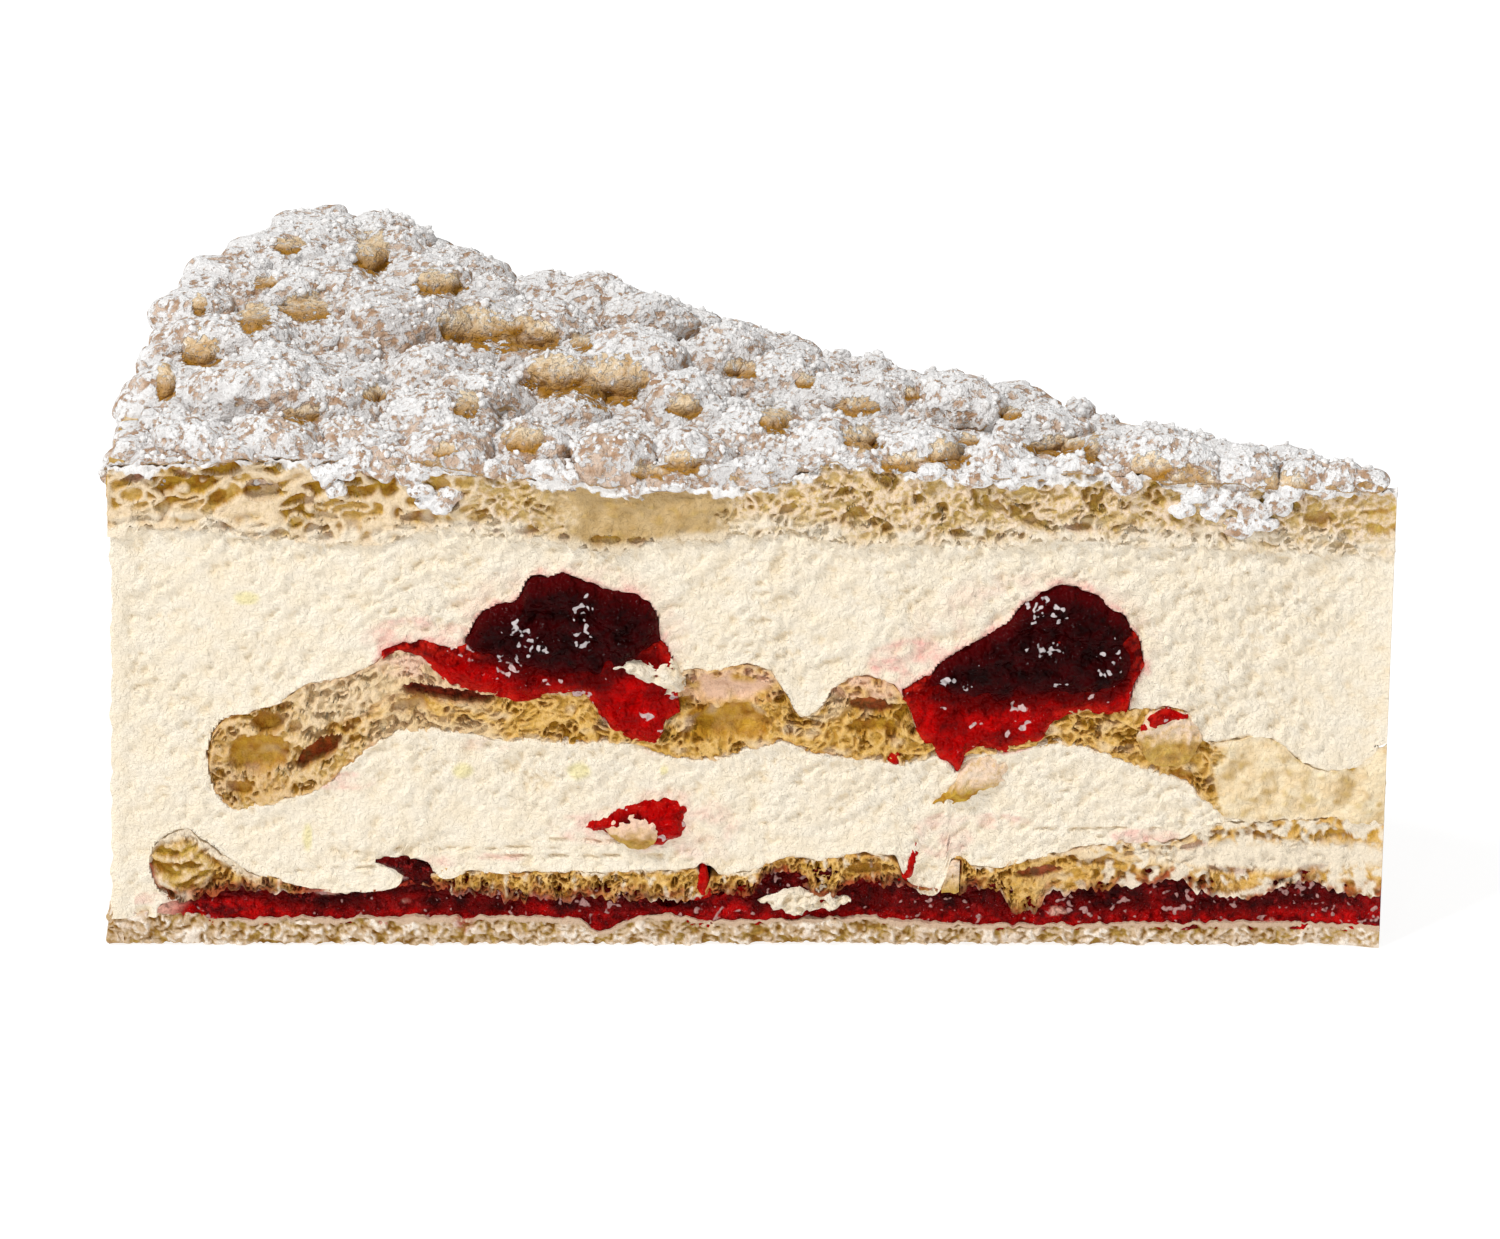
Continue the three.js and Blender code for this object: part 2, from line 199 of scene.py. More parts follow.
def layer(name, columns, rows, arcs, form, relief, crisp=45):
    """A layer of the slice. form bends the box (u, v, w) to (r, t, z), and relief says how deep the cut lies
    at each point and what shows there. side is 0 at the near cut and 1 at the far one. Edges sharper than
    crisp stay so."""
    mesh = mesh_of(name, fine_box(columns, rows, arcs))
    u, v, w = read_points(mesh).T
    side = (w > 0.5).astype(float)
    r, t, z = form(u, v, w)
    depth, shares = relief(r, z, v, side)
    deepest = 0.3 * r * SLICE_ANGLE
    depth = deepest * np.tanh(depth / deepest)
    points = place(r, t, z)
    points += (depth * (1 - w) ** 2)[:, None] * NEAR_INWARD
    points += (depth * w ** 2)[:, None] * FAR_INWARD
    write_points(mesh, points)
    obj = laid(mesh)
    mesh.set_sharp_from_angle(angle=math.radians(crisp))
    paint(mesh, shares)
    return obj


def cut_points(r, z, side, stretch=1.0, level=0.5):
    """The points of a cut as places in a pattern, with each cut in a part of its own."""
    return np.stack([r / stretch, z, 90.0 * side + level], axis=-1)


def rim_points(w, z):
    """The points of the rim as places in a pattern."""
    return np.stack([w * RIM_ARC, z, 0 * w], axis=-1)


def warped(points, amount, size, seed):
    """The points moved sideways a little, so that a pattern read there runs unevenly."""
    moved = [mottle(points, size, seed), mottle(points, size, seed + 1), np.zeros(len(points))]
    return points + amount * np.stack(moved, axis=-1)


base_top = line((0, 2.9), (21, 3.0), (49, 2.9), (57, 3.6), (65, 3.4), (73, 3.1), (83, 3.4), (85, 2.1),
                (86.5, 1.9), (88.2, 3.4), (91, 3.6), (108, 3.6), (122, 3.5), (127, 3.4), (131, 4.0),
                (136, 4.3), (140, 3.9))


def base_form(u, v, w):
    r = TIP_RADIUS + (TORTE_RADIUS - TIP_RADIUS) * u
    side = np.round(w)
    at = cut_points(r, 0 * r, side)
    top = base_top(far_radius(r, side)) + 0.35 * mottle(at, 1.3, 3) + 0.25 * mottle(at, 0.6, 4)
    bottom = 0.3 + 0.4 * mottle(at, 1.6, 6) + 0.2 * mottle(at, 0.7, 7)
    rim = ramp(0.97, 1, u)
    r = r - rim * (0.35 + 0.35 * mottle(rim_points(w, v * 3.6), 1.4, 5))
    at_cut = 4 * (w - 0.5) ** 2
    return r, w, bottom * at_cut + (top - bottom * at_cut) * v


def base_relief(r, z, v, side):
    at = cut_points(r, z, side)
    bent = warped(at, 0.5, 0.9, 8)
    height = 0.42 + 0.5 * mottle(bent, 1.0, 10) + 0.5 * mottle(bent, 0.55, 12) + 0.25 * mottle(at, 0.32, 14)
    height += 0.25 * mottle(at, 2.6, 11)
    depth = 1.0 - 0.8 * height + 0.25 * ramp(0.5, 0, v) + 0.25 * ramp(0.75, 1, v)
    pit = ramp(0.42, 0.18, height)
    pale = ramp(0.5, 0.66, height)
    stain = ramp(1.6, 0.1, np.abs(r - 101)) * ramp(0.3, 0.9, v) * (1 - side)
    stain = np.maximum(stain, 0.5 * ramp(0.85, 1, v) * ramp(0.1, 0.5, mottle(at, 3.2, 13)))
    skin = ramp(0.8, 0.86, v + 0.16 * mottle(at, 2.6, 19) + 0.08 * mottle(at, 0.7, 20)) * ramp(131, 124, r)
    depth -= skin * (depth - 0.55)
    return depth, {"hollow": pit * (1 - skin), "pale": pale * (1 - skin), "stain": stain, "skin": skin}


base = layer("shortcrust_base_cut", 900, 20, 8, base_form, base_relief, crisp=70)


def base_rim_form(u, v, w):
    """The baked edge of the base, a band along the rim."""
    at = rim_points(w, v * 3.6)
    r = 138 + u * (1.75 + 0.3 * mottle(at, 1.4, 15) + 0.2 * mottle(at, 0.6, 16))
    return r, w, 0.35 + 3.4 * v


base_rim = layer("shortcrust_base_rim", 4, 14, 150, base_rim_form, lambda r, z, v, side: (0.9 + 0 * r, {}))
places = read_points(base_rim.data) * 1000
height = 0.42 + 0.5 * mottle(places, 1.1, 17) + 0.4 * mottle(places, 0.6, 18)
paint(base_rim.data, {"hollow": 0.7 * ramp(0.42, 0.18, height), "pale": ramp(0.5, 0.66, height)})


def material(name, **sockets):
    """A principled material with its plain sockets set, and its node tree."""
    made = bpy.data.materials.new(name)
    made.use_nodes = True
    shader = made.node_tree.nodes["Principled BSDF"]
    for socket, value in sockets.items():
        shader.inputs[socket.replace("_", " ")].default_value = value
    return made, made.node_tree, shader


def node(tree, kind, inputs=None, **settings):
    """A node with its settings, and with each input set to a value or joined to an output."""
    made = tree.nodes.new("ShaderNode" + kind)
    for setting, value in settings.items():
        setattr(made, setting, value)
    for key, value in (inputs or {}).items():
        if isinstance(value, bpy.types.NodeSocket):
            tree.links.new(value, made.inputs[key])
        else:
            made.inputs[key].default_value = value
    return made


def share(tree, name):
    """How much of one finish shows, as painted on the mesh."""
    return node(tree, "Attribute", attribute_name=name).outputs["Fac"]


def mixed(tree, amount, first, second):
    """The first colour where the amount is 0 and the second where it is 1."""
    made = node(tree, "Mix", data_type="RGBA")
    for key, value in ((0, amount), (6, first), (7, second)):
        if isinstance(value, bpy.types.NodeSocket):
            tree.links.new(value, made.inputs[key])
        else:
            made.inputs[key].default_value = value if key == 0 else (*value, 1)
    return made.outputs[2]


def speckle(tree, size, low, high, detail=2):
    """Fine blotches of that size in millimetres: 0 where the noise is under low, 1 where it is over high."""
    place_in = node(tree, "TexCoord").outputs["Object"]
    noise = node(tree, "TexNoise",
                 {"Vector": place_in, "Scale": 1000 / size, "Detail": detail, "Roughness": 0.6})
    return above(tree, noise.outputs["Fac"], low, high)


def blotched(tree, size, low, high, first, second):
    """The first colour with fine blotches of the second."""
    return mixed(tree, speckle(tree, size, low, high), first, second)


def times(tree, first, second):
    return node(tree, "Math", {0: first, 1: second}, operation="MULTIPLY").outputs[0]


def times_plus(tree, first, second, added):
    return node(tree, "Math", {0: first, 1: second, 2: added}, operation="MULTIPLY_ADD").outputs[0]


def above(tree, value, low, high):
    """0 where the value is under low and 1 where it is over high."""
    return node(tree, "MapRange", {"Value": value, "From Min": low, "From Max": high}).outputs["Result"]


def bumped(tree, shader, height, millimetres):
    bump = node(tree, "Bump", {"Height": height, "Distance": millimetres * 0.001, "Strength": 1})
    tree.links.new(bump.outputs["Normal"], shader.inputs["Normal"])


def coloured(tree, shader, colour):
    tree.links.new(colour, shader.inputs["Base Color"])


shortcrust, tree, shader = material("shortcrust", Roughness=0.85, Specular_IOR_Level=0.2)
colour = blotched(tree, 1.1, 0.35, 0.65, (0.54, 0.37, 0.21), (0.66, 0.49, 0.32))
pale = blotched(tree, 1.9, 0.4, 0.6, (0.74, 0.59, 0.45), (0.92, 0.82, 0.7))
hollow = blotched(tree, 1.4, 0.4, 0.6, (0.27, 0.12, 0.012), (0.46, 0.28, 0.06))
colour = mixed(tree, share(tree, "pale"), colour, pale)
colour = mixed(tree, share(tree, "hollow"), colour, hollow)
colour = mixed(tree, times(tree, share(tree, "skin"), 0.75), colour, (0.6, 0.42, 0.3))
stained = times(tree, share(tree, "stain"), speckle(tree, 0.8, 0.4, 0.55))
colour = mixed(tree, stained, colour, (0.36, 0.05, 0.02))
coloured(tree, shader, colour)
bumped(tree, shader, speckle(tree, 0.35, 0.2, 0.8, 3), 0.2)
for piece in (base, base_rim):
    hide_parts("shortcrust_base")
    piece.data.materials.append(shortcrust)

# Red jam. Cooked berry jam spread over the base while warm, about 3 mm deep, wet and nearly black where it is
# thick, with seeds and skins in it. The sheet of choux laid on it has pressed it up into every break.
JAM_END = 134.4
jam_bottom = line((0, 2.6), (21, 2.6), (49, 2.6), (57, 3.3), (65, 3.1), (73, 2.8), (83, 3.1), (85, 1.7),
                  (86.5, 1.5), (88.2, 3.1), (91, 3.3), (108, 3.3), (122, 3.2), (126, 2.6), (128, 3.1),
                  (132, 4.2), (134.4, 4.8))
jam_top = line((0, 7.6), (6, 7.8), (9, 9.2), (14, 8), (20, 8), (25, 9.5), (32, 8), (42, 7.9), (50, 8.2),
               (57, 8.8), (66, 9.6), (71, 7.4), (74.2, 7.2), (75, 10.2), (75.8, 7.4), (84, 7.4), (97, 7.5),
               (101, 8.6), (105, 10.4), (107.5, 10.4), (109.4, 8.6), (111, 7.4), (117, 7.4), (122, 8),
               (129, 7.4), (132, 6), (134.4, 5.2))


def jam_form(u, v, w):
    r = TIP_RADIUS + (JAM_END - TIP_RADIUS) * u
    side = np.round(w)
    at = cut_points(r, 0 * r, side)
    low = jam_bottom(far_radius(r, side)) - 0.5 + 0.2 * mottle(at, 1.2, 31)
    high = jam_top(far_radius(r, side)) + 0.35 * mottle(at, 1.5, 32)
    return r, w, low + (high - low) * v


def jam_relief(r, z, v, side):
    at = cut_points(r, z, side, 1.4)
    bent = warped(at, 0.5, 2.3, 28)
    _, gap, own = grains(bent, 2.1, 33)
    depth = 0.95 + 0.4 * mottle(bent, 2.6, 34) + 0.28 * mottle(bent, 1.1, 35) + 0.12 * mottle(at, 0.6, 36)
    low_down = ramp(5.2, 3.4, z + 0.7 * mottle(at, 2.4, 37))
    bright = 0.75 * low_down + 0.9 * ramp(116, 126, r) * ramp(6.5, 5, z)
    bright += 0.5 * ramp(16, 4, r) * ramp(6, 4.6, z)
    bright += 0.7 * ramp(3.5, 0.5, np.abs(r - 72)) + 0.5 * ramp(0.1, 0.6, mottle(at, 3.4, 38))
    seed = ramp(0.88, 0.9, own) * ramp(0.35, 0.5, gap)
    seed = np.maximum(seed, ramp(131, 133.6, r + 1.2 * mottle(at, 1.2, 40)))
    # Patches of the jam where pale glints are painted as highlights.
    wet = ramp(-0.6, 0.3, mottle(at, 3.5, 39))
    return depth - 0.35 * seed, {"bright": bright, "seed": seed, "painted_shine": wet}


jam = layer("red_jam_cut", 620, 18, 6, jam_form, jam_relief)
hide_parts("jam_layer")


def painted_sparkle(tree, colour, rare, size, glint):
    """Small curved glints painted into the colour as highlights, where wet lumps would catch the window light.
    """
    likely = times_plus(tree, share(tree, "painted_shine"), 0.2, speckle(tree, size, 0, 1, 1))
    return mixed(tree, above(tree, likely, rare, rare + 0.05), colour, glint)


wet_jam, tree, shader = material("wet_jam", Roughness=0.12, Specular_IOR_Level=0.05)
colour = blotched(tree, 1.6, 0.35, 0.7, (0.025, 0.0003, 0.0003), (0.12, 0.001, 0.001))
bright = blotched(tree, 1.3, 0.35, 0.65, (0.1, 0.0005, 0.001), (0.5, 0.003, 0.003))
colour = mixed(tree, share(tree, "bright"), colour, bright)
colour = mixed(tree, times(tree, speckle(tree, 0.9, 0.6, 0.68), 0.7), colour, (0.26, 0.012, 0.012))
colour = mixed(tree, share(tree, "seed"), colour, (0.66, 0.34, 0.26))
# Painted highlights: pale pinkish glints mixed into the jam's colour.
coloured(tree, shader, painted_sparkle(tree, colour, 0.79, 1.0, (0.44, 0.24, 0.22)))
bumped(tree, shader, speckle(tree, 1.0, 0.3, 0.75, 2), 0.7)
jam.data.materials.append(wet_jam)

# Lower choux sheet. Thin choux spread on a tray and baked to a hollow, flaky sheet, about 3 mm thick, curled
# up at the torte's rim. The knife has torn its cells open, so that the cut is fuzzy, and jam has soaked in.
LOWER_END = 135.2
# The sheet's upper side from the tip to its break, where the cream lies right on it
LOWER_TIP_TOP = ((0, 15.2), (7, 15.8), (10.9, 15.5), (16.7, 15.3), (20.7, 14.7), (23, 13.3), (26.5, 13),
                 (30.7, 12.7), (33.9, 12.3), (36.1, 11.7), (38.9, 11.1), (42.7, 9.9), (45.7, 10.1))
lower_top = line(*LOWER_TIP_TOP, (46.8, 11), (47.6, 10.9), (48.1, 7.5), (50.9, 7.2), (53.1, 8.2),
                 (53.9, 10.4), (55, 11), (58.3, 11.5), (62, 10.7), (66.4, 11), (68.2, 9.9), (70.4, 9.4),
                 (72.5, 8.7), (74.1, 8.2), (74.8, 7), (75.5, 9.2), (76.9, 9.4), (84.2, 9.3), (90.9, 9.2),
                 (100.1, 9.3), (104.3, 9.3), (105, 8.9), (110.5, 7.1), (116.5, 7.1), (119.3, 7.7), (122, 8.5),
                 (124.1, 9.1), (126.8, 11), (129.5, 13), (131.2, 14.4), (132.6, 14.1), (133.9, 13.3),
                 (134.8, 12.2), (135.2, 10.8))
lower_bottom = line((0, 6.6), (5.8, 6.8), (8.9, 8.2), (13.2, 6.8), (16.7, 6.3), (20.7, 6.9), (24.5, 8.5),
                    (28.4, 7.5), (31.7, 7), (35.4, 6.8), (37.2, 6.6), (38.8, 4.3), (41, 4.3), (42.7, 6.9),
                    (46.5, 7), (50.9, 7), (53.1, 7.7), (56.6, 7.9), (59.1, 7.9), (60.7, 6), (62.9, 6.6),
                    (64.6, 8.2), (67.8, 8.6), (69.7, 6.8), (72.5, 6.3), (74.1, 6.8), (74.8, 6.4), (75.5, 6),
                    (78.4, 5.6), (85.7, 6), (90.9, 5.9), (98.4, 6.2), (103.5, 7), (105, 7.7), (110.5, 6.9),
                    (116.5, 6.9), (120.7, 6.6), (124.7, 7.1), (128.4, 6.5), (130.9, 5.7), (133.4, 6.2),
                    (134.8, 8.6), (135.2, 10.2))
# Each hollow is (r, z, half width, half height, tilt in degrees, depth, how olive, how red)
LOWER_HOLLOWS = (
    (65.8, 8.3, 2.5, 0.9, 4, 2.4, 0, 1), (130.6, 9.9, 2.4, 0.45, 14, 1.6, 0.9, 0),
    (129.8, 8.5, 2.8, 0.35, 4, 1.4, 0.9, 0), (131.4, 7.3, 1.8, 0.35, -5, 1.3, 0.9, 0),
    (132.4, 12.2, 1.2, 0.5, 35, 1.2, 0.5, 0), (127.4, 10.2, 1.4, 0.35, 30, 1.2, 0.7, 0),
    (47.3, 9.2, 0.45, 1.6, 8, 1, 0.5, 0.7), (57.4, 9.6, 2.2, 0.7, 0, 1.5, 0.7, 0.2),
    (21.6, 12.4, 1.6, 0.4, -12, 1.3, 0.6, 0.3), (14.2, 13.6, 2.2, 0.4, 10, 1.5, 0.7, 0.1),
    (5.6, 13.9, 1.6, 0.4, -8, 1.4, 0.7, 0), (31, 10.4, 1.9, 0.5, 5, 1.2, 0.8, 0),
    (38.5, 9.2, 2.4, 0.6, -8, 1.3, 0.3, 0.8), (17.6, 9.4, 2.4, 0.4, 6, 1.2, 0.5, 0.3),
    (8.8, 9.7, 1.6, 0.4, -6, 1.2, 0.6, 0.2),
)


def sheet_form(bottom, top, outer, jag, level=99.0):
    """The form of a choux sheet between two lines, with a torn edge along both. Behind the near cut it keeps
    to a level."""
    def form(u, v, w):
        r = TIP_RADIUS + (outer - TIP_RADIUS) * u
        side = np.round(w)
        shifted = np.minimum(far_radius(r, side), outer)
        at = cut_points(r, 0 * r, side)
        low, high = bottom(shifted), top(shifted)
        tear = jag * np.clip((high - low) / 2, 0, 1)
        low = low + tear * (0.6 * mottle(at, 1.1, 41) + 0.5 * mottle(at, 0.55, 42))
        high = high + 0.6 * tear * (0.6 * mottle(at, 1.3, 43) + 0.5 * mottle(at, 0.6, 44))
        high = high - np.maximum(high - level, 0) * ramp(0, 0.04, w)
        return r, w, low + np.maximum(high - low, 0.3) * v
    return form


def choux_relief(bottom, top, hollows, cell, smooth_places=(), flaky=1.6, seed=50):
    """The torn cells of a cut choux sheet, its large hollows, and the browned skin along both edges."""
    def relief(r, z, v, side):
        shifted = far_radius(r, side)
        thickness = np.maximum(top(shifted) - bottom(shifted), 0.3)
        edge = np.minimum(v, 1 - v) * thickness
        at = cut_points(r, z, side, flaky)
        bent = warped(at, 0.5 * cell, 2 * cell, seed + 1)
        coarse, middling = mottle(bent, 2.3 * cell, seed + 3), mottle(bent, 1.15 * cell, seed + 4)
        fine = mottle(bent, 0.6 * cell, seed + 5)
        web = np.maximum(ramp(0.26, 0.04, np.abs(coarse)), 0.9 * ramp(0.3, 0.05, np.abs(middling)))
        web = np.maximum(web, 0.6 * ramp(0, 0.5, fine))
        opened = (1 - web) * ramp(-0.5, 0.3, coarse)
        even = np.zeros(len(r))
        for from_r, to_r in smooth_places:
            drift = 3 * mottle(at, 4, seed + 15) + 1.5 * mottle(at, 1.6, seed + 16) + 1.8 * fine
            begun = ramp(from_r - 1.6, from_r + 1.6, r + drift)
            even = np.maximum(even, begun * ramp(to_r + 1.6, to_r - 1.6, r + drift))
        rough = 1 - even
        depth = 0.3 + rough * (0.35 * (1 - web) + 0.75 * opened - 0.1 * fine)
        depth += 0.22 * mottle(at, 3.6, seed + 6)
        pleats = mottle(cut_points(r / 1.3 + 0.3 * z, 0.35 * z, side, level=0), 2.2, seed + 7)
        depth += even * (0.45 * pleats - 0.25 * middling - 0.12 * fine)
        olive = rough * np.clip(1.1 * opened + 0.25 * (1 - web), 0, 1)
        olive += even * 0.35 * ramp(0.1, 0.6, middling)
        red = np.zeros(len(r))
        wobble = 0.2 * mottle(at, 1.1, seed + 8) + 0.16 * mottle(at, 0.55, seed + 9)
        for at_r, at_z, half_r, half_z, tilt, deep, how_olive, how_red in hollows:
            turn = math.radians(tilt)
            across = (shifted - at_r) * math.cos(turn) + (z - at_z) * math.sin(turn)
            up = (z - at_z) * math.cos(turn) - (shifted - at_r) * math.sin(turn)
            reach = np.sqrt((across / half_r) ** 2 + (up / half_z) ** 2) + wobble
            inside = ramp(1.06, 0.92, reach)
            floor = deep * (0.6 + 0.4 * np.sqrt(np.clip(1 - reach ** 2, 0, 1))) + 0.12 * coarse
            depth = depth + inside * (floor - 0.8 * depth)
            olive = olive * (1 - inside) + inside * (how_olive + 0.25 * middling)
            red = np.maximum(red, inside * how_red)
        patchy = ramp(-0.3, 0.3, mottle(at, 3.2, seed + 10))
        skin = ramp(0.5, 0.1, edge + 0.2 * mottle(at, 1.1, seed + 11)) * rough * patchy
        depth = depth * (0.5 + 0.5 * ramp(0, 0.7, edge)) + 0.2 * ramp(0.7, 0, edge)
        smear = ramp(0.55, 0.15, edge + 0.3 * mottle(at, 1.4, seed + 12))
        smear *= ramp(-0.1, 0.4, mottle(at, 2.6, seed + 13))
        pale = ramp(0.1, 0.55, web * (0.6 + 0.4 * mottle(at, 2.4, seed + 14)))
        # Tan shade painted in the recessed folds of the custardy pleats.
        painted_fold_shade = even * ramp(0.05, 0.6, pleats + 0.35 * middling)
        return depth, {"olive": olive, "red": red, "skin": skin, "even": even, "cream": 0.8 * smear,
                       "web": pale, "painted_fold_shade": painted_fold_shade}
    return relief


lower_torn = choux_relief(lower_bottom, lower_top, LOWER_HOLLOWS, 0.62, flaky=0.65)
tip_torn = choux_relief(lower_bottom, lower_top, LOWER_HOLLOWS, 0.8, flaky=1.5, seed=90)


def near_ellipse(r, z, at_r, at_z, half_r, half_z, soft=0.6):
    """1 inside an ellipse of the cut, sliding to 0 over that share of its size outside."""
    return ramp(1 + soft, 1 - 0.2 * soft, np.hypot((r - at_r) / half_r, (z - at_z) / half_z))


def slid_over(first, second, amount):
    """One relief and what shows in it, turned by that amount into another."""
    depth = first[0] + amount * (second[0] - first[0])
    return depth, {name: shown + amount * (second[1][name] - shown) for name, shown in first[1].items()}


def lower_relief(r, z, v, side):
    at = cut_points(r, z, side, 2)
    fine = cut_points(r, z, side)
    towards_tip = ramp(44, 34, r + 3 * mottle(fine, 3, 58))
    depth, shares = slid_over(lower_torn(r, z, v, side), tip_torn(r, z, v, side), towards_tip)
    crumbly = 0.75 * mottle(fine, 1.5, 61) + 0.6 * mottle(fine, 0.7, 66)
    pocket = ramp(1.5, 0.7, np.hypot((r - 12.6) / 12.8, (z - 11.2) / 1.5) + 0.5 * crumbly)
    cream = np.maximum(0.9 * pocket, 0.9 * ramp(42, 27, r) * ramp(-0.1, 0.2, crumbly)) * (1 - side)
    floury = ramp(-0.2, 0.4, mottle(cut_points(r, z, side, 1.4), 1.1, 64))
    cream = np.maximum(cream, 0.8 * ramp(129.4, 131.5, r) * floury)
    fuzz = mottle(cut_points(r, 0.4 * z, side, level=0), 0.75, 67) + 0.3 * mottle(fine, 0.5, 68)
    fuzz = fuzz * ramp(48, 56, r)
    cream = np.maximum(cream, 0.75 * ramp(0.25, 0.65, fuzz))
    crust = ramp(1.6, 0.6, lower_top(r) - z + 0.6 * mottle(fine, 1.3, 69)) * ramp(121, 126, r)
    bowed = z - 0.1 * (r - 132) ** 2 + 0.5 * mottle(fine, 1.8, 56)
    leafy = mottle(cut_points(r, bowed, side, 3, level=0), 0.85, 59) + 0.25 * mottle(fine, 0.6, 57)
    curl = near_ellipse(r, z, 132, 9.7, 3.3, 2.7, 0.3)
    leaf = curl * ramp(0.2, -0.15, leafy)
    cream = np.maximum(np.maximum(cream, 0.8 * crust) * (1 - curl), 0.7 * curl * ramp(0.35, 0.6, leafy))
    depth += curl * (0.25 + 0.9 * ramp(0.15, -0.4, leafy) - depth)
    height = v * (lower_top(far_radius(r, side)) - lower_bottom(far_radius(r, side)))
    soaked = ramp(2.2, 0.5, height + 0.9 * mottle(at, 1.0, 62) - 0.6 * fuzz)
    soaked *= ramp(-0.7, 0, mottle(at, 2.2, 63))
    lump = near_ellipse(r, z, 108.4, 8.8, 3, 1.6, 0.2) * (1 - side)
    shares["red"] = np.maximum(np.maximum(shares["red"], 0.85 * soaked * (1 - cream)), lump)
    shares["cream"] = np.maximum(cream, shares["cream"]) * (1 - lump)
    shares["olive"] = np.maximum(shares["olive"], 0.7 * ramp(0, -0.5, fuzz)) * (1 - curl) + leaf
    shares["golden"] = 1 - 0.7 * curl
    return depth * (1 - 0.7 * cream) + cream * (0.35 - 0.3 * crumbly) - 0.2 * fuzz, shares


lower_form = sheet_form(lower_bottom, lower_top, LOWER_END, 1.3)
lower_choux = layer("lower_choux_cut", 900, 30, 6, lower_form, lower_relief, crisp=60)
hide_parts("choux_lower")

choux, tree, shader = material("choux_pastry", Roughness=0.7, Specular_IOR_Level=0.2)
wall = blotched(tree, 0.8, 0.4, 0.6, (0.6, 0.4, 0.13), (0.74, 0.54, 0.26))
wall = mixed(tree, times(tree, share(tree, "web"), speckle(tree, 0.6, 0.35, 0.55)), wall, (0.88, 0.69, 0.5))
custard = blotched(tree, 1.8, 0.3, 0.7, (0.83, 0.63, 0.37), (0.93, 0.79, 0.55))
ochre = blotched(tree, 1.6, 0.3, 0.7, (0.48, 0.31, 0.12), (0.62, 0.44, 0.22))
hollow = blotched(tree, 1.4, 0.35, 0.65, (0.38, 0.17, 0.008), (0.62, 0.42, 0.06))
skin = blotched(tree, 0.7, 0.4, 0.6, (0.5, 0.2, 0.03), (0.68, 0.38, 0.1))
soaked = blotched(tree, 1.0, 0.4, 0.6, (0.1, 0.003, 0.003), (0.38, 0.03, 0.01))
colour = mixed(tree, share(tree, "even"), wall, custard)
# Painted shade in the custard's folds.
colour = mixed(tree, share(tree, "painted_fold_shade"), colour, (0.6, 0.42, 0.2))
colour = mixed(tree, share(tree, "ochre"), colour, ochre)
colour = mixed(tree, share(tree, "olive"), colour, hollow)
colour = node(tree, "Mix", {0: share(tree, "golden"), 6: colour, 7: (0.94, 0.76, 0.36, 1)}, data_type="RGBA",
              blend_type="MULTIPLY").outputs[2]
colour = mixed(tree, times(tree, share(tree, "skin"), 0.8), colour, skin)
colour = mixed(tree, share(tree, "cream"), colour, (0.9, 0.8, 0.64))
colour = mixed(tree, share(tree, "pink"), colour, (0.88, 0.58, 0.44))
colour = mixed(tree, share(tree, "dusted"), colour, (0.93, 0.9, 0.87))
colour = mixed(tree, share(tree, "red"), colour, soaked)
coloured(tree, shader, colour)
bumped(tree, shader, speckle(tree, 0.4, 0.25, 0.75, 3), 0.22)
lower_choux.data.materials.append(choux)

# Whipped cream. Sweet cream whipped stiff, piped and spread between the sheets, with a coat drawn round the
# rim with a palette knife. The cut drags it into fine grains and ridges, and cherry juice stains it pink.
MIDDLE_END = 128.9
middle_top = line((0, 25.6), (1.6, 24.5), (3.8, 22.2), (7.1, 21.5), (10.4, 22.5), (12.8, 24.9), (14.8, 25.7),
                  (18.3, 25), (21.4, 25.4), (23, 28.5), (26.3, 29), (30.4, 28.6), (33.9, 29), (37.4, 27.8),
                  (39.4, 25.4), (43.8, 24.5), (49.2, 24.9), (52.1, 26.6), (53.3, 30), (56.6, 32.5),
                  (60.9, 31.8), (62.7, 28.9), (65.3, 28.6), (66.2, 30.4), (68.2, 33.3), (74.7, 33.3),
                  (78.1, 32.2), (78.7, 30), (79.9, 25.8), (82.1, 25.6), (85.7, 27.3), (87.5, 30.3),
                  (90.8, 30.9), (95.6, 30.3), (98.4, 31.2), (102.3, 32.1), (103.9, 33.3), (106.1, 35.7),
                  (108.9, 36), (111.1, 34.1), (114.3, 32.5), (117.9, 31.9), (121.3, 29.6), (124.7, 28.4),
                  (127, 27.6), (128.3, 26), (128.9, 23.8))
middle_bottom = line((0, 14.7), (7.8, 15.9), (12.8, 15.6), (18.3, 16.1), (20.7, 17.9), (22.6, 19.9),
                     (26.1, 21.3), (29.2, 22.5), (32.4, 23.7), (36.3, 24.6), (38.9, 24.4), (43.8, 23.5),
                     (49.6, 23.3), (53.1, 22.3), (56.6, 22.7), (60.2, 23.1), (63.8, 23.9), (66.2, 24.8),
                     (69.7, 24.2), (72.5, 23.1), (76.9, 22.8), (80.6, 23.8), (82.1, 24.6), (85.7, 24.9),
                     (89.4, 24.6), (93, 25.1), (96.8, 25.1), (100.7, 26), (103.9, 26.3), (108.3, 26),
                     (111.1, 24.5), (113.8, 22.1), (116, 19.9), (119.3, 18.4), (123.4, 17.1), (126.4, 16.9),
                     (127.8, 18.6), (128.6, 21), (128.9, 23.2))
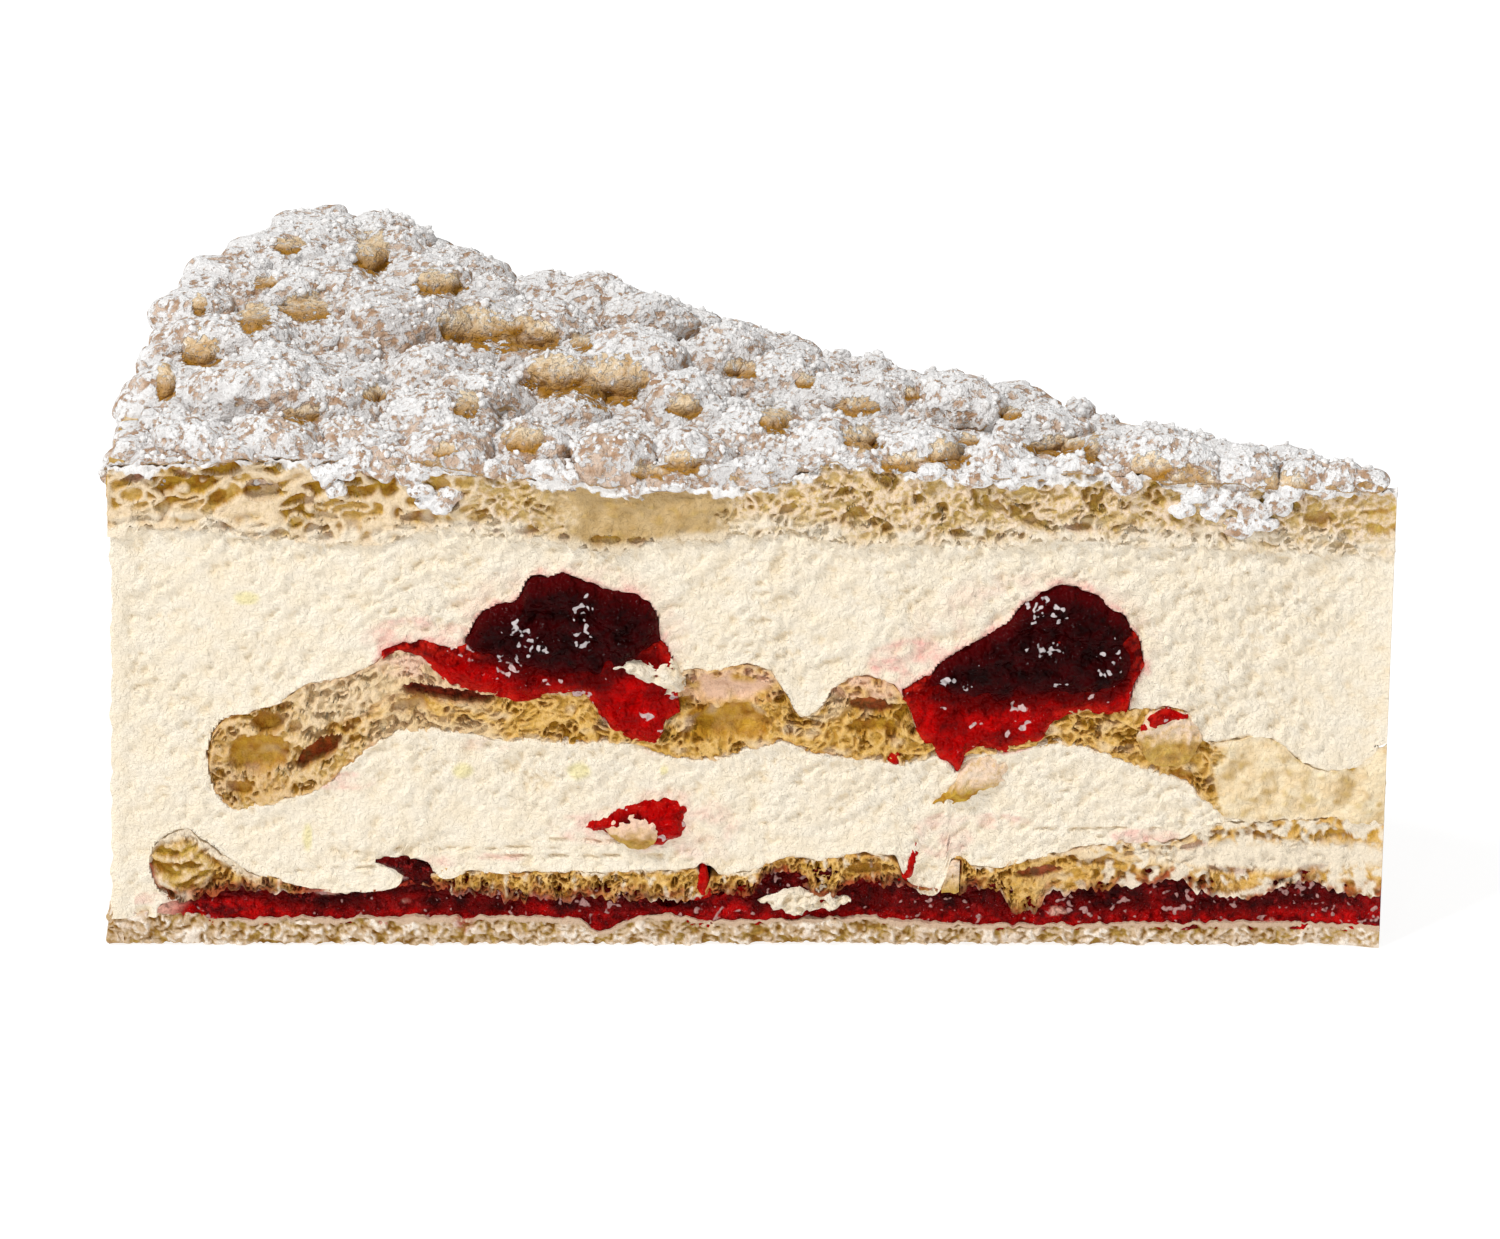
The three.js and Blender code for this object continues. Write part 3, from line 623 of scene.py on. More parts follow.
cream_floor = line(*LOWER_TIP_TOP, (47.4, 11), (48.1, 10.6), (48.6, 8.2), (49.5, 6.4), (50.9, 6.4),
                   (52.3, 7.7), (53.3, 9.2), (53.9, 11), (55, 11.1), (58.3, 11.5), (62, 10.7), (66.4, 11),
                   (68.2, 9.9), (70.4, 9.4), (72.5, 8.7), (74.2, 9.9), (75.1, 10.4), (75.7, 9.7), (76.9, 9.5),
                   (84.2, 9.3), (90.9, 9.2), (100.1, 9.3), (104.3, 9.4), (104.8, 10.4), (106.3, 10.7),
                   (107.3, 9.9), (107.8, 8), (108.9, 7.2), (112.1, 6.9), (116.5, 7), (119.3, 7.7), (122, 8.7),
                   (124.1, 9.3), (126.8, 11.2), (129.5, 13.3), (131.2, 14.5), (132.6, 14.3), (133.3, 13),
                   (133.8, 8), (134.2, 4.6), (135.3, 4.2), (136.8, 3.9))
cherry_tops = (line((80, 37.2), (80.4, 39.6), (82.1, 42), (86.4, 43.2), (88.6, 44.2), (90.8, 45),
                    (92.1, 44.4), (94.5, 44), (95.2, 42.3), (97.4, 41.3), (99.6, 40), (101.1, 37)),
               line((28.7, 34.6), (29.2, 38), (31.2, 40.7), (33.9, 42.8), (37.1, 43.5), (40.2, 41.9),
                    (42.9, 38.9), (46.8, 36.4), (49.9, 34.2), (51, 32.4)))
cherry_bottoms = (line((80, 36.9), (82.1, 35.1), (84.2, 33.3), (86.4, 32.4), (90.8, 33.1), (95.2, 33.8),
                       (99.6, 35.3), (101.1, 36.5)),
                  line((28.7, 34.3), (30, 31.9), (32.4, 30.3), (36.2, 30.2), (40.2, 30.6), (44.1, 29.6),
                       (48, 30.6), (51, 31.4)))
jelly_tops = (line((77.8, 29), (78.4, 33.6), (79.6, 36.6), (81.5, 37.2), (86.4, 37.4), (95.2, 37.4),
                   (100.1, 36.8), (102.8, 36.2), (105.3, 37), (108.3, 36.6), (110.1, 35.9)),
              line((27.7, 34.3), (28.4, 37.2), (30.1, 38.6), (33.9, 38.4), (40.5, 37.2), (47, 34.8),
                   (51.1, 32.9), (53.8, 31.2)))
jelly_bottoms = (line((77.8, 28.6), (79.1, 27.1), (81.3, 25.5), (84.2, 27.2), (86.4, 29.7), (89.4, 31.2),
                      (95.6, 30.2), (100.8, 31.5), (103.2, 33.1), (104.9, 34.8), (108.3, 35.9),
                      (110.1, 35.6)),
                 line((27.7, 33.8), (30, 29.3), (33.9, 28.7), (37.1, 27.5), (38.9, 25), (42.1, 23.7),
                      (46.8, 23.1), (47.6, 21.3), (48.1, 22), (49.9, 23.4), (50.8, 26), (52.6, 28.5),
                      (53.8, 30.7)))
CHERRY_SPANS = ((80, 101.1), (28.7, 51))
JELLY_SPANS = ((77.8, 110.1), (27.7, 53.8))
top_bottom = line((0, 47.2), (6.6, 47.2), (14, 47.8), (22.2, 48.3), (29.5, 48.3), (36.1, 49), (42.7, 48.4),
                  (50.3, 48.3), (56, 48.6), (59.1, 48.2), (62.4, 49), (68.9, 49.5), (75.5, 49), (81, 48.7),
                  (84.6, 47.6), (87.4, 47.6), (90.8, 48.7), (97.4, 49.3), (106.1, 50.1), (108.3, 48.9),
                  (116, 48.7), (124.7, 49.3), (130.2, 50.3), (135.7, 50.2), (139.8, 49.3))
COAT_RADIUS = 136.8
CREAM_CEILING = 50.3


def on_sheet(bottom, r):
    """The underside of the fruit, which sinks onto the middle sheet wherever it is close above it."""
    sunk = ramp(2.8, 1.2, bottom(r) - middle_top(r))
    return bottom(r) + sunk * (np.minimum(bottom(r), middle_top(r) - 0.5) - bottom(r))


def inside_solids(r, z):
    """How deep a point of the cut lies inside the sheets and the fruit, and how deep in the fruit alone."""
    sheet = np.where(r < MIDDLE_END, np.minimum(z - middle_bottom(r), middle_top(r) - z), -9)
    fruit = np.full(len(r), -9.0)
    for top, bottom, (start, end) in zip(jelly_tops + cherry_tops, jelly_bottoms + cherry_bottoms,
                                         JELLY_SPANS + CHERRY_SPANS):
        within = np.minimum(np.minimum(z - on_sheet(bottom, r), top(r) - z), np.minimum(r - start, end - r))
        fruit = np.maximum(fruit, within)
    return np.maximum(sheet, fruit), fruit


def seam(r):
    """The upper and the lower cream meet behind the middle sheet, and beyond its end along a level line."""
    return np.where(r < MIDDLE_END, (middle_bottom(r) + middle_top(r)) / 2, 23.3)


def behind_tip(r, z):
    """The cream ends just behind the tips of the sheets."""
    solid = np.maximum(inside_solids(np.maximum(r, 1.5), z)[0], cream_floor(r) - z)
    return r + 0.9 * ramp(4, 1.6, r) * (solid > -0.3)


def upper_cream_form(u, v, w):
    r = TIP_RADIUS + (COAT_RADIUS - TIP_RADIUS) * u
    low = seam(far_radius(r, np.round(w)))
    z = low + (CREAM_CEILING - low) * v
    return behind_tip(r, z), w, z


def lower_cream_form(u, v, w):
    r = TIP_RADIUS + (COAT_RADIUS - TIP_RADIUS) * u
    shifted = far_radius(r, np.round(w))
    slope = 3.7 + 0.45 * np.clip(132.5 - shifted, 0, 99)
    low = np.maximum(np.minimum(cream_floor(shifted) - 1.2, slope), 3.7)
    z = low + (seam(shifted) - low) * v
    return behind_tip(r, z), w, z


# Each tear is a fine level slit in the cream, with shade painted in it: (from r, to r, z, drop towards the
# rim)
TEARS = ((88, 119, 12.4, 0.9), (76, 102, 11.2, 0.1), (103, 121, 10.5, 1.4), (80, 94, 12.9, -0.3),
         (24, 40, 14.6, 0.2))


def cream_grain(r, z, side):
    """The dragged grain of cut cream: how deep it lies, and how much tan shade is painted in its pits and
    slits.
    """
    at = cut_points(r, z, side)
    lean = cut_points(0.6 * z - 0.8 * r, 0.6 * r + 0.8 * z, side, 2)
    coarse = np.maximum(ramp(70, 30, r) * ramp(22, 32, z), ramp(50, 35, r) * (1 - side))
    height = 0.4 * mottle(lean, 1.25, 70) + 0.45 * mottle(lean, 0.7, 71) + 0.35 * mottle(at, 0.55, 72)
    height = height * np.clip(0.95 + 0.6 * mottle(at, 9, 77) - 0.12 * ramp(95, 120, r), 0.6, 1.3)
    depth = 0.55 - (0.66 + 0.24 * coarse) * height + 0.25 * mottle(at, 6, 76)
    pit = ramp(-0.08, -0.45, height) * (0.85 - 0.15 * coarse)
    for start, end, level, drop in TEARS:
        way = (r - start) / (end - start)
        along = level - drop * way + 0.3 * mottle(cut_points(r, 0 * r, side), 5, 79)
        slit = ramp(0.26, 0.05, np.abs(z - along)) * ramp(0, 0.15, way) * ramp(1, 0.85, way)
        slit = slit * ramp(-0.25, 0.1, mottle(cut_points(r, 0 * r, side), 2.4, 80)) * (1 - side)
        depth += 0.4 * slit
        pit = np.maximum(pit, 0.7 * slit)
    return depth, pit


# Each stain is (r, z, half width, half height, strength)
STAINS = (
    (90.5, 37.5, 12, 7.6, 0.22), (40, 36.5, 12.2, 7.6, 0.22), (52.5, 34.2, 4.6, 2.6, 0.9),
    (106, 37.3, 5.5, 2.2, 0.6), (114, 20.2, 3, 1, 0.5), (85.5, 14.6, 5.5, 1.8, 0.45),
    (78.5, 15.2, 6.5, 3.6, 0.35), (49, 13.6, 3, 2.4, 0.45), (43.5, 15.4, 3.6, 0.8, 0.55),
    (27, 13.6, 3.4, 0.8, 0.7), (103, 10.6, 3, 0.5, 0.5), (97, 11, 2.4, 0.4, 0.5), (133.8, 5.9, 5, 0.6, 0.4),
    (74.5, 11.2, 2.2, 1, 0.4), (99, 24.6, 2.6, 0.8, 0.25), (79, 24, 2.6, 0.8, 0.3),
)
# Each fleck is a yellowish streak of fat in the cream: (r, z, half width, half height)
FLECKS = ((124.7, 42, 1.1, 0.6), (101.2, 21.5, 0.9, 0.7), (88.6, 21.5, 1, 0.8), (118, 13.4, 0.4, 1.3),
          (79.4, 21.5, 0.35, 0.45), (58.5, 31.5, 0.6, 0.3), (46, 37, 0.5, 0.3))


def cream_relief(r, z, v, side):
    """The cut cream, which sinks away behind the sheets and the fruit that lie in it."""
    depth, pit = cream_grain(r, z, side)
    shifted = far_radius(r, side)
    at = cut_points(r, z, side, 1.3)
    ragged = 0.3 * mottle(at, 1.3, 81) + 0.22 * mottle(at, 0.65, 82)
    deep, fruit = inside_solids(shifted, z)
    curled = np.minimum(np.minimum(z - lower_bottom(shifted), lower_top(shifted) - z), LOWER_END - shifted)
    jammed = np.minimum(jam_top(shifted) - z, JAM_END - shifted)
    above_floor = np.where(shifted > 131, -np.maximum(curled, jammed), z - cream_floor(shifted))
    clear = np.minimum(-deep, above_floor) + ragged
    tucked = ramp(0.1, -1.3, clear)
    near_edge = ramp(1.2, 0.2, clear) * (1 - tucked)
    depth = depth * (1 - 0.35 * near_edge) + 3.8 * tucked
    depth += 1.6 * ramp(-0.1, 0.7, z - top_bottom(shifted) + ragged)
    stain = np.zeros(len(r))
    for at_r, at_z, half_r, half_z, strength in STAINS:
        stain = np.maximum(stain, strength * near_ellipse(shifted, z, at_r, at_z, half_r, half_z, 0.25))
    stain *= ramp(-0.5, 0.3, mottle(at, 1.5, 83))
    fringe = ramp(-1.1, -0.1, fruit + 0.5 * mottle(at, 0.9, 84)) * (z > middle_top(shifted) - 1)
    stain = np.maximum(stain, 0.9 * fringe)
    fleck = np.zeros(len(r))
    for at_r, at_z, half_r, half_z in FLECKS:
        fleck = np.maximum(fleck, near_ellipse(shifted, z, at_r, at_z, half_r, half_z))
    return depth, {"pit": pit, "stain": stain, "fleck": fleck * (1 - side)}


upper_cream = layer("upper_cream_cut", 510, 72, 6, upper_cream_form, cream_relief)
lower_cream = layer("lower_cream_cut", 510, 57, 6, lower_cream_form, cream_relief)


def coat_form(u, v, w):
    r = COAT_RADIUS + (TORTE_RADIUS - 0.45 - COAT_RADIUS) * u
    z = 3.6 + (CREAM_CEILING - 3.6) * v
    along = w * RIM_ARC
    outside = ramp(0.6, 1, u)
    strokes = np.stack([along / 9, z + 0.05 * along, 0 * z], axis=-1)
    r = r + outside * (0.34 * mottle(strokes, 1.7, 91) + 0.2 * mottle(rim_points(w, z), 5, 92) - 0.25)
    return r, w, z


def coat_relief(r, z, v, side):
    depth, pit = cream_grain(r, z, side)
    outer = ramp(137.0, 138.6, r)
    smooth = 0.28 + 0.2 * mottle(cut_points(r, z, side, 0.4), 3.4, 93)
    depth = depth * (1 - outer) + smooth * outer + 0.5 * ramp(139.2, 139.7, r)
    nothing = np.zeros(len(r))
    return depth, {"pit": pit * (1 - outer), "stain": nothing, "fleck": nothing}


cream_coat = layer("cream_coat_rim", 10, 120, 104, coat_form, coat_relief)

cream, tree, shader = material("whipped_cream", Roughness=0.6, Specular_IOR_Level=0.2)
colour = blotched(tree, 2.6, 0.35, 0.65, (0.91, 0.79, 0.605), (0.92, 0.825, 0.67))
# Painted shade: the cream turns tan in the grain's pits and slits.
colour = mixed(tree, times(tree, share(tree, "pit"), 0.75), colour, (0.8, 0.63, 0.4))
colour = mixed(tree, times(tree, share(tree, "fleck"), 0.8), colour, (0.84, 0.74, 0.38))
juice = blotched(tree, 1.1, 0.4, 0.6, (0.85, 0.42, 0.36), (0.88, 0.62, 0.5))
colour = mixed(tree, share(tree, "stain"), colour, juice)
coloured(tree, shader, colour)
bumped(tree, shader, speckle(tree, 0.5, 0.25, 0.75, 3), 0.28)
for piece in (upper_cream, lower_cream, cream_coat):
    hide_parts("cream_filling")
    piece.data.materials.append(cream)

# Middle choux sheet. The same pastry, baked with large bubbles: a fat curled end near the rim, up to 13 mm
# thick, an open bubble at half radius, and a custardy end of 10 mm at the tip. Its hollows show dark and wet.
MIDDLE_HOLLOWS = (
    (122.4, 27.0, 1.8, 1.15, 0, 2.2, 0.9, 0), (123.4, 23.6, 3.6, 2.3, 0, 1.9, 0.85, 0),
    (119.4, 26.6, 0.8, 0.7, 0, 1.5, 0.7, 0), (116.8, 23.7, 2.9, 1.1, -36, 2.8, 0.9, 0.75),
    (103.1, 30.6, 5.3, 0.85, 8, 2.6, 0.3, 0.95), (107.0, 29.4, 2.4, 0.8, -12, 1.5, 1, 0),
    (71.9, 27.4, 4.4, 1.9, 0, 2.0, 0.72, 0), (72.4, 31.1, 4.6, 1.8, 0, 1.2, 0.1, 0),
    (57.2, 29.3, 2.4, 0.8, 6, 1.5, 0.6, 0.75), (56.8, 26.8, 3, 0.6, 0, 1.1, 0.9, 0),
    (4.9, 22.1, 0.6, 0.6, 0, 0.9, 1, 0.1), (23.3, 20.8, 1.3, 0.8, 0, 1.2, 1, 0.1),
    (125.4, 19.4, 1.6, 0.7, 20, 1.3, 0.9, 0.1),
)
middle_torn = choux_relief(middle_bottom, middle_top, MIDDLE_HOLLOWS, 0.68, ((-5, 20.5),), 1.2, 110)


def middle_relief(r, z, v, side):
    depth, shares = middle_torn(r, z, v, side)
    at = cut_points(r, z, side, 1.3)
    pink = near_ellipse(r, z, 106.5, 34.6, 3.4, 1.6) + near_ellipse(r, z, 72.6, 31.6, 5, 1.6)
    pink = pink + near_ellipse(r, z, 57.5, 31.4, 4, 1.1) + 0.5 * near_ellipse(r, z, 98, 31.6, 7, 0.8)
    shares["pink"] = 0.8 * np.clip(pink, 0, 1) * ramp(-0.7, 0.3, mottle(at, 1.2, 121)) * (1 - shares["red"])
    cream = 0.5 * near_ellipse(r, z, 115, 30.6, 6, 1.8) * ramp(-0.5, 0.2, mottle(at, 1.5, 122))
    shares["cream"] = np.maximum(cream, 0.6 * shares["cream"])
    on_webs = 0.2 * shares["web"] * ramp(108, 116, r) * (1 - shares["olive"])
    shares["cream"] = np.maximum(shares["cream"], on_webs)
    flour = 0.4 * ramp(0.1, 0.6, mottle(at, 1.7, 124)) * (1 - shares["even"]) * (1 - shares["red"])
    bulb = ramp(106, 112, r)
    uneven = mottle(at, 2, 126)
    upper = ramp(0.4, 0.58, v + 0.2 * uneven) * ramp(97, 101, r) * ramp(121, 117, r)
    parted = ramp(0.3, 0.1, np.abs(v - 0.46 + 0.1 * uneven) * 6) * ramp(100, 104, r) * ramp(117, 114, r)
    shares["cream"] = np.maximum(shares["cream"], flour) * (1 - 0.5 * bulb)
    shares["cream"] = np.maximum(shares["cream"], 0.36 * upper * (1 - shares["red"]))
    shares["olive"] = shares["olive"] * (1 - 0.45 * upper)
    shares["skin"] = np.maximum(shares["skin"], 0.7 * parted)
    smeared = ramp(0.34, 0.16, v + 0.15 * mottle(at, 1.5, 127)) * ramp(96, 99, r) * ramp(113, 110, r)
    shares["cream"] = np.maximum(shares["cream"], 0.35 * smeared)
    shares["olive"] = shares["olive"] * (1 - 0.55 * smeared)
    depth += 0.3 * parted
    solid = ramp(0.9, 0.5, shares["olive"])
    shares["golden"] = (1 - 0.45 * bulb * solid) * (1 - shares["even"])
    shares["web"] = shares["web"] * (1 - 0.1 * bulb)
    amber = near_ellipse(r, z, 75.6, 27.2, 1.3, 1.8)
    shares["olive"] = np.maximum(shares["olive"] * (1 - 0.3 * ramp(108, 114, r) * solid), 1.1 * amber)
    browned = ramp(0.55, 0.15, middle_top(far_radius(r, side)) - z + 0.2 * mottle(at, 1.2, 123))
    tanned = ramp(125.2, 128, r + 1.2 * mottle(at, 1.4, 125)) + near_ellipse(r, z, 124.6, 19.6, 4, 1.4)
    shares["skin"] = np.maximum(shares["skin"], 0.4 * np.minimum(tanned, 1) * (1 - shares["olive"]))
    shares["skin"] = np.maximum(shares["skin"], browned * ramp(101, 105, r) * ramp(122, 116, r))
    return depth, shares


middle_choux = layer("middle_choux_cut", 820, 42, 6, sheet_form(middle_bottom, middle_top, MIDDLE_END, 0.7),
                     middle_relief, crisp=60)
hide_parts("choux_middle")
middle_choux.data.materials.append(choux)

# Cherry filling. Dark cooked cherries in clear red jelly, spooned on in two rings. The knife has cut through
# both rings, so that wet jelly bulges out of the cut round the nearly black halves of the fruit.
CHERRY_DEPTH = 7


def span_form(bottom, top, span, t_from, t_to, shift=0.0):
    """The form of a lump that lies between two lines of the cut from one share of the angle to another."""
    start, end = span

    def form(u, v, w):
        r = start + (end - start) * (0.5 - 0.5 * np.cos(math.pi * u))
        low, high = bottom(r), top(r)
        at = cut_points(r, 0 * r, np.round(w))
        low = low + 0.3 * mottle(at, 1.4, 131) + 0.2 * mottle(at, 0.7, 133)
        high = high + 0.35 * mottle(at, 1.6, 132) + 0.22 * mottle(at, 0.7, 134)
        thick = np.maximum(high - low, 0.12)
        return r + shift, t_from + (t_to - t_from) * w, (low + high) / 2 + thick * (v - 0.5)
    return form


def wet_relief(bottom, top, span, proud, back, lump, seed, shift=0.0):
    """A wet lump that stands proud of the cut in the middle and rolls back at its edges."""
    start, end = span

    def relief(r, z, v, side):
        r = r - shift
        at = cut_points(r, z, side)
        bent = warped(at, 0.25 * lump, lump, seed + 1)
        thickness = np.maximum(top(r) - bottom(r), 0.12)
        edge = np.minimum(np.minimum(v, 1 - v) * thickness, np.minimum(r - start, end - r))
        round_off = ramp(0, 2.2, edge)
        depth = back - (back + proud) * np.sqrt(round_off)
        depth += (0.2 + 0.14 * round_off) * lump * 0.6 * mottle(bent, lump, seed)
        depth += 0.15 * lump * mottle(bent, 0.45 * lump, seed + 5)
        # Where pale highlights are painted on the near cut.
        glints = np.zeros(len(r))
        for at_r, at_z, half_r, half_z in GLINTS:
            glints = np.maximum(glints, near_ellipse(r, z, at_r, at_z, half_r, half_z, 0.4))
        dark = ramp(-0.15, 0.4, mottle(at, 3.4, seed + 6)) * ramp(0.6, 2.2, edge)
        return depth, {"thin": 1 - round_off, "painted_shine": glints * (1 - side), "dark": dark}
    return relief


# Each glint is a place on the near cut where a pale highlight is painted on the wet fruit: (r, z, half width,
# half height)
GLINTS = (
    (88.6, 41.2, 1.1, 1.6), (88.4, 38.1, 0.9, 1.5), (95.2, 38.9, 1.4, 1), (93.8, 36.8, 1.6, 1.3),
    (96, 34.8, 1.4, 1.2), (97, 33.5, 1.1, 0.9), (100.7, 35.6, 0.9, 0.8), (88.2, 30.6, 1.1, 0.8),
    (78.6, 31, 0.8, 0.8), (102.6, 36, 0.6, 0.5), (38.4, 40.8, 2.2, 1.6), (38.4, 36.4, 1.8, 0.9),
    (49.2, 32.7, 1, 0.8), (46.6, 32.1, 0.8, 0.8), (36.7, 32.1, 0.9, 0.5), (31.6, 34.8, 1.5, 1.5),
    (49.2, 29.1, 0.8, 0.6), (41.4, 29.1, 1.1, 0.9), (40.6, 27.5, 0.9, 0.8), (42.6, 25.8, 0.8, 0.6),
    (45.6, 27.2, 0.8, 0.6), (33.2, 31, 1, 0.6), (81.4, 28.6, 0.9, 0.7), (79.6, 26.6, 0.6, 0.5),
    (91.6, 32.4, 1, 0.5), (76.9, 15.6, 0.5, 0.7), (79.4, 13.6, 0.6, 0.5), (24.8, 28.2, 0.8, 0.5),
)

wet_jelly, tree, shader = material("wet_jelly", Roughness=0.12, Specular_IOR_Level=0.035)
colour = blotched(tree, 2.2, 0.35, 0.65, (0.24, 0.0004, 0.0004), (0.5, 0.001, 0.001))
colour = mixed(tree, times(tree, share(tree, "dark"), 0.85), colour, (0.05, 0.0003, 0.0003))
thin = times(tree, share(tree, "thin"), speckle(tree, 1.2, 0.4, 0.6))
colour = mixed(tree, thin, colour, (0.5, 0.012, 0.006))
# Painted highlights: pale glints mixed into the jelly's colour.
coloured(tree, shader, painted_sparkle(tree, colour, 0.748, 0.9, (0.6, 0.42, 0.4)))
bumped(tree, shader, speckle(tree, 1.3, 0.3, 0.75, 2), 0.8)
dark_cherry, tree, shader = material("dark_cherry", Roughness=0.14, Specular_IOR_Level=0.035)
colour = blotched(tree, 2.0, 0.35, 0.65, (0.008, 0.0003, 0.0003), (0.032, 0.0005, 0.001))
colour = mixed(tree, times(tree, share(tree, "thin"), 0.55), colour, (0.1, 0.001, 0.002))
# Painted highlights: pale glints mixed into the cherries' colour.
coloured(tree, shader, painted_sparkle(tree, colour, 0.765, 0.85, (0.56, 0.5, 0.5)))
bumped(tree, shader, speckle(tree, 1.6, 0.3, 0.75, 2), 0.8)


def under_fruit(relief, fruit_bottom, r, z, v, side):
    """That relief, with the jelly darker close under the fruit."""
    depth, shares = relief(r, z, v, side)
    near = fruit_bottom(r) - z + 0.9 * mottle(cut_points(r, z, side), 1.5, 179)
    shares["dark"] = np.maximum(0.7 * shares["dark"], ramp(2.1, 0, near))
    return depth, shares


for ring, name in enumerate(("outer", "inner")):
    jelly_shape = (partial(on_sheet, jelly_bottoms[ring]), jelly_tops[ring], JELLY_SPANS[ring])
    bulging = wet_relief(*jelly_shape, 0.15, 0.55, 2.4, 140 + ring)
    jelly_relief = partial(under_fruit, bulging, cherry_bottoms[ring])
    jelly = layer(f"jelly_ring_{name}_cut", 150, 50, 8, span_form(*jelly_shape, 0, 1), jelly_relief)
    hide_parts(f"jelly_ring_{name}")
    jelly.data.materials.append(wet_jelly)
    cherry_shape = (cherry_bottoms[ring], cherry_tops[ring], CHERRY_SPANS[ring])
    reach = CHERRY_DEPTH / (sum(CHERRY_SPANS[ring]) / 2 * SLICE_ANGLE)
    for cut, (t_from, t_to) in {"near": (0, reach), "far": (1 - reach, 1)}.items():
        shift = 0 if cut == "near" else 1.2
        cherry = layer(f"cherry_{name}_{cut}_cut", 114, 64, 6, span_form(*cherry_shape, t_from, t_to, shift),
                       wet_relief(*cherry_shape, 0.75, 0.6, 3.2, 150 + ring, shift))
        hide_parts(f"cherry_{name}_{cut}")
        cherry.data.materials.append(dark_cherry)

# Small fillings. A stray spoonful of jelly in the lower cream with a bit of apricot pink pastry in it, a blob
# of cream in the jam, drops and threads of jelly in the broken places, and a torn flap of pastry.
SMALL_DEPTH = 3
# Each small piece is (name, finish, replaced node, slot, how proud, how far back at its edges, underside,
# upper side)
SMALL_PIECES = (
    ("jelly_pocket_cut", wet_jelly, "jelly_pocket", "jelly", 0.25, 1.2,
     ((76.4, 15.2), (76.9, 13.8), (78.4, 12.3), (81, 11.6), (83.9, 12.3), (86.4, 13.5), (88.3, 14),
      (90.3, 12.6)),
     ((76.4, 15.5), (76.8, 17.1), (78, 18.4), (81.7, 18.2), (85, 17.1), (88.3, 15), (90.3, 12.9))),
    ("pocket_pastry_cut", choux, "jelly_pocket", "choux", 0.65, 0.05,
     ((79.6, 14.6), (80.3, 12.9), (82, 12.2), (84.2, 12.9), (86, 14.6)),
     ((79.6, 15), (80.6, 16.1), (82.6, 16.4), (84.6, 15.8), (86, 14.8))),
    ("cream_blob_cut", cream, "cream_blob", "cream", 0.2, 0.8,
     ((58.8, 5.6), (60.4, 4.4), (62.2, 4.9), (64.4, 3.9), (66.6, 4.3), (68.9, 5.4)),
     ((58.8, 5.9), (60.6, 6.4), (62, 7.5), (63.6, 6.9), (65.2, 7.7), (66.9, 6.6), (68.9, 5.8))),
    ("jelly_drop_middle_cut", wet_jelly, "jelly_ring_inner", "jelly", 0.3, 0.7,
     ((53.7, 22.6), (54.3, 21.9), (55.2, 22.6)), ((53.7, 23.2), (54.4, 24.1), (55.2, 23.4))),
    ("jelly_spot_cut", wet_jelly, "jelly_ring_inner", "jelly", 0.5, 0.1,
     ((22.8, 27.9), (24.4, 27.5), (26.2, 26.6), (27.9, 26.2)),
     ((22.8, 28.3), (24.6, 29), (26.4, 28.7), (27.9, 26.9))),
    ("jelly_thread_left_cut", wet_jelly, "jam_layer", "jam", 0.1, 0.9,
     ((74, 6.2), (74.9, 6), (76, 5.4)), ((74, 6.9), (74.7, 9.9), (75.1, 10.2), (76, 6.4))),
    ("jelly_thread_right_cut", wet_jelly, "jam_layer", "jam", 0.1, 0.9,
     ((51.3, 12.6), (52.2, 8.6), (53.8, 8.1)), ((51.3, 13.4), (52.1, 13.2), (53, 10.2), (53.8, 8.9))),
    ("jam_lump_cut", wet_jam, "jam_layer", "jam", 0.5, 0.6,
     ((104.3, 7.2), (106, 7.8), (107.6, 8.9), (109, 9.6), (110.6, 10.2)),
     ((104.3, 9.4), (105.6, 10.3), (107.4, 11), (109.4, 11.1), (110.6, 10.7))),
    ("tip_crumb_cut", choux, "choux_middle", "choux", 0.05, 0.25,
     ((21.2, 25.2), (22.2, 23), (24.6, 22), (27, 22.7), (28.3, 25)),
     ((21.2, 25.7), (22.3, 27.9), (24.8, 28.9), (27.1, 28.3), (28.3, 25.6))),
    ("cream_smear_cut", cream, "cream_filling", "cream", 1.1, 0.4,
     ((77.2, 31.4), (78.6, 30.6), (80.4, 31.4), (82.6, 32.6), (85.4, 33.8)),
     ((77.2, 32.6), (78.4, 34.6), (80.6, 34.2), (82.4, 35.2), (85.4, 34.4))),
    ("torn_edge_cut", choux, "choux_lower", "choux", 0.05, 0.1,
     ((47.1, 7), (48, 6.9), (49, 6.8)), ((47.1, 10.7), (48, 10.6), (49, 7.3))),
    ("choux_flap_cut", choux, "choux_middle", "choux", 0.35, 0.8,
     ((42, 20.2), (44.5, 18.9), (46.8, 17.5), (50.2, 17.3)),
     ((42, 22.7), (47, 22.5), (48.2, 19.9), (50.2, 17.7))),
)
